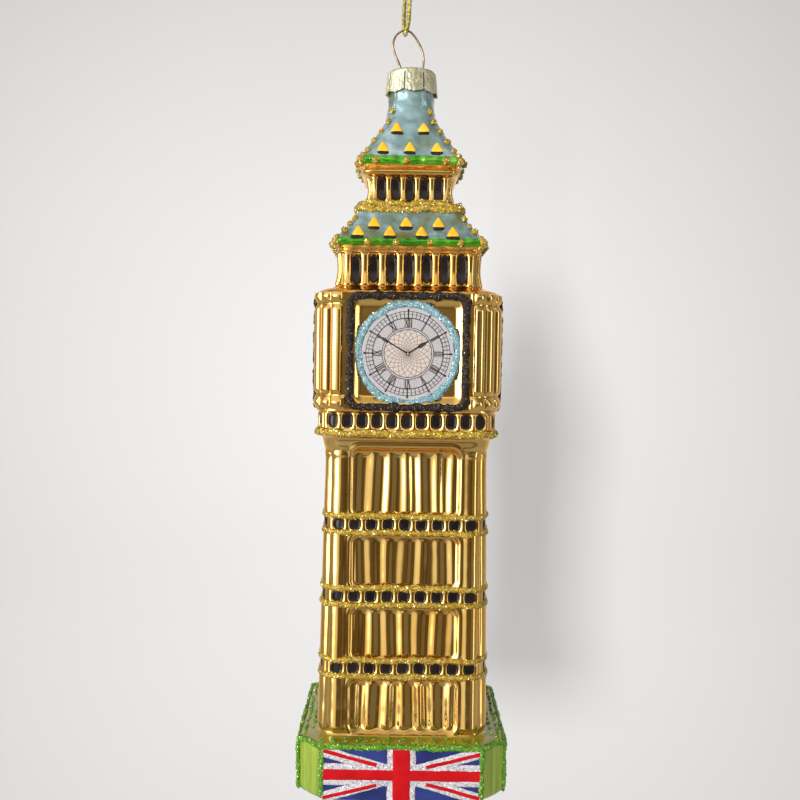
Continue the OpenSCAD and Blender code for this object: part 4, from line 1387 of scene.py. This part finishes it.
def add_dial(side, side_name):
    """A printed dial with its glitter rim and frame."""
    for layer, parts, material in DIAL_LAYERS:
        verts, faces = join_parts(parts)
        piece = add_mesh(f"dial_{side_name}_{layer}", facing(verts + (0, DIAL_Z, 0), side, FACE_Y), faces,
                         material, "glass", smooth_shading=False)
        if layer == "film":
            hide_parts("clock_dial_" + side_name)
    outward = np.array([*quarter_turn(0, -1, side), 0.0])
    a = turns(260)
    r = (RIM_R - 0.7) * (1 + 0.012 * np.sin(5 * a + side) + 0.008 * np.sin(11 * a))
    circle = facing(ring_points(r, a, GLUE_OUT, (0, DIAL_Z)), side, FACE_Y)
    glue_and_flakes("rim_" + side_name, [glue_line(circle, 1.05, 1.85, 100 + side, facing=outward)],
                    TEAL_GLITTER, ["dial_rim_" + side_name], 16, 0.2, 0.4)
    outline = rounded_line(FRAME_W - 1.6, FRAME_H - 1.6, 2.0, 0.35)
    square = facing(np.column_stack([outline + (0, FRAME_Z), np.full(len(outline), GLUE_OUT)]),
                    side, CLOCK_HALF)
    square = square + outward * 0.12 * wave_noise(square, 7, 130 + side)[:, None]
    glue_and_flakes("frame_" + side_name, [glue_line(square, 1.25, 1.75, 140 + side, facing=outward)],
                    BLACK_GLITTER, ["dial_frame_" + side_name], 7, 0.2, 0.45)


def rounded_line(w, h, r, step):
    """Points along a rounded rectangle, evenly spaced."""
    corners = []
    for cx, cz, start in ((w / 2 - r, h / 2 - r, 0), (r - w / 2, h / 2 - r, 90),
                          (r - w / 2, r - h / 2, 180), (w / 2 - r, r - h / 2, 270)):
        for i in range(9):
            a = math.radians(start + 90 * i / 8)
            corners.append((cx + r * math.cos(a), cz + r * math.sin(a)))
    corners.append(corners[0])
    line = np.array(corners)
    run = run_of(line)
    q = np.linspace(0, run[-1], int(run[-1] / step), endpoint=False)
    return np.stack([np.interp(q, run, line[:, 0]), np.interp(q, run, line[:, 1])], axis=1)


for number, side_name in enumerate(SIDES):
    add_dial(number, side_name)


# ---- flags ----

FLAG_W = 1.025 * span("flag_panel_front", 0)
FLAG_H = 11.8
FLAG_Z = middle_z("flag_panel_front") - 0.3


def plate(points, out, thickness, bevel=0.12):
    """A flat shape with its edge rounded back to the face behind it."""
    points = np.asarray(points, float)
    centre = points.mean(axis=0)
    n = len(points)
    inward = (centre - points) / np.maximum(np.linalg.norm(centre - points, axis=1, keepdims=True), 1e-6)
    rings = [np.column_stack([points, np.full(n, out - 0.05)]),
             np.column_stack([points, np.full(n, out + 0.6 * thickness)]),
             np.column_stack([points + inward * bevel, np.full(n, out + thickness)])]
    return np.concatenate(rings), [grid_faces(3, n, True)[:, ::-1], (np.arange(n) + 2 * n)[None, :]]


def strip(a, b, width, out, thickness):
    """A bar of enamel as a grid, so that it is even along its length."""
    a, b = np.asarray(a, float), np.asarray(b, float)
    length = np.linalg.norm(b - a)
    along = (b - a) / length
    across = np.array([-along[1], along[0]])
    t = np.linspace(0, length, max(3, int(length / 0.4)))
    u = np.array([-1, -0.97, -0.8, -0.4, 0, 0.4, 0.8, 0.97, 1])
    rise = np.array([-0.05, 0.5, 0.85, 1, 1, 1, 0.85, 0.5, -0.05]) * thickness
    grid = (a[None, None] + along[None, None] * t[:, None, None]
            + across[None, None] * (u * width / 2)[None, :, None])
    noise = wave_noise(np.column_stack([grid.reshape(-1, 2), np.full(grid.size // 2, 1.0)]), 2.5, 6)
    grid = grid + across[None, None] * 0.07 * noise.reshape(grid.shape[:2])[..., None]
    verts = np.concatenate([grid, np.broadcast_to(out + rise, grid.shape[:2])[..., None]], axis=-1)
    return verts.reshape(-1, 3), [grid_faces(len(t), len(u), False)]


def add_flag(side, side_name):
    w, h = FLAG_W / 2, FLAG_H / 2
    ground = plate([(-w, -h), (w, -h), (w, h), (-w, h)], 0.0, 0.12, 0.1)
    white = [strip((0, -h), (0, h), 6.4, 0.12, 0.22), strip((-w, 0), (w, 0), 5.0, 0.12, 0.22)]
    thin = []
    for sx in (-1, 1):
        for sz in (-1, 1):
            white.append(strip((sx * 1.5, sz * 0.6), (sx * w, sz * (h - 0.6)), 2.5, 0.12, 0.2))
            shift = -0.45 * sx * sz * 0.4
            thin.append(strip((sx * 5.6, sz * 2.1 + shift), (sx * (w - 0.2), sz * (h - 0.7) + shift),
                              0.85, 0.3, 0.14))
    red = [strip((0, -h), (0, h), 3.95, 0.32, 0.2), strip((-w, 0), (w, 0), 2.45, 0.31, 0.18)]

    def clip(parts):
        return [(np.column_stack([np.clip(v[:, 0], -w, w), np.clip(v[:, 1], -h, h), v[:, 2]]), f)
                for v, f in parts]

    def placed(parts):
        verts, faces = join_parts(clip(parts))
        return facing(verts + (0, FLAG_Z, 0), side, BASE_HALF - 0.02), faces

    verts, faces = placed([ground])
    piece = add_mesh(f"flag_{side_name}_ground", verts, faces, M_NAVY, "glass", smooth_shading=False)
    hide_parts("flag_panel_" + side_name)
    glue_and_flakes(f"flag_{side_name}_white", [placed(white)], WHITE_GLITTER,
                    [], 9, 0.2, 0.3)
    for layer, parts in (("cross", red), ("saltire", thin)):
        verts, faces = placed(parts)
        add_mesh(f"flag_{side_name}_{layer}", verts, faces, M_RED, "glass")


for number, side_name in enumerate(SIDES):
    add_flag(number, side_name)


# ---- green glitter on the base ----

def base_edging():
    parts = [glue_line(ring_path(BASE - 0.9, 0.1, 0.25, 150), 1.3, 0.9, 151)]
    for side in range(4):
        for sx in (-1, 1):
            x = sx * (BASE_HALF - BASE_CUT)
            z = np.linspace(BASE - 0.8, BOTTOM + 1.2, 45)
            line = on_glass(side, np.full(45, x), z, 0.1, False)
            line = line + 0.12 * np.stack([wave_noise(line, 4, 160 + side), wave_noise(line, 4, 170 + side),
                                           np.zeros(45)], axis=1)
            outward = np.array([*quarter_turn(0, -1, side), 0.0])
            parts.append(glue_line(line, 0.9, 1.1, 180 + side, closed=False, facing=outward))
    return parts


def base_dots():
    parts = []
    for side in range(4):
        for row, (inset, spacing) in enumerate(((1.3, 2.5), (2.9, 3.3))):
            half = BASE_HALF - inset
            xs = np.arange(-half + BASE_CUT - 1, half - BASE_CUT + 1, spacing)
            for x in xs:
                px, py = quarter_turn(x + rng.normal(0, 0.2), -half + rng.normal(0, 0.15), side)
                parts.append(bead(np.array([px, py, BASE - 0.18 + 0.1 * row]), rng.uniform(0.6, 1.0), 190))
    return parts


glue_and_flakes("base_edging", base_edging(), GREEN_GLITTER,
                ["base_glitter_edging"], 12, 0.24)
glue_and_flakes("base_top_dots", base_dots(), GREEN_GLITTER, [], 12, 0.22)
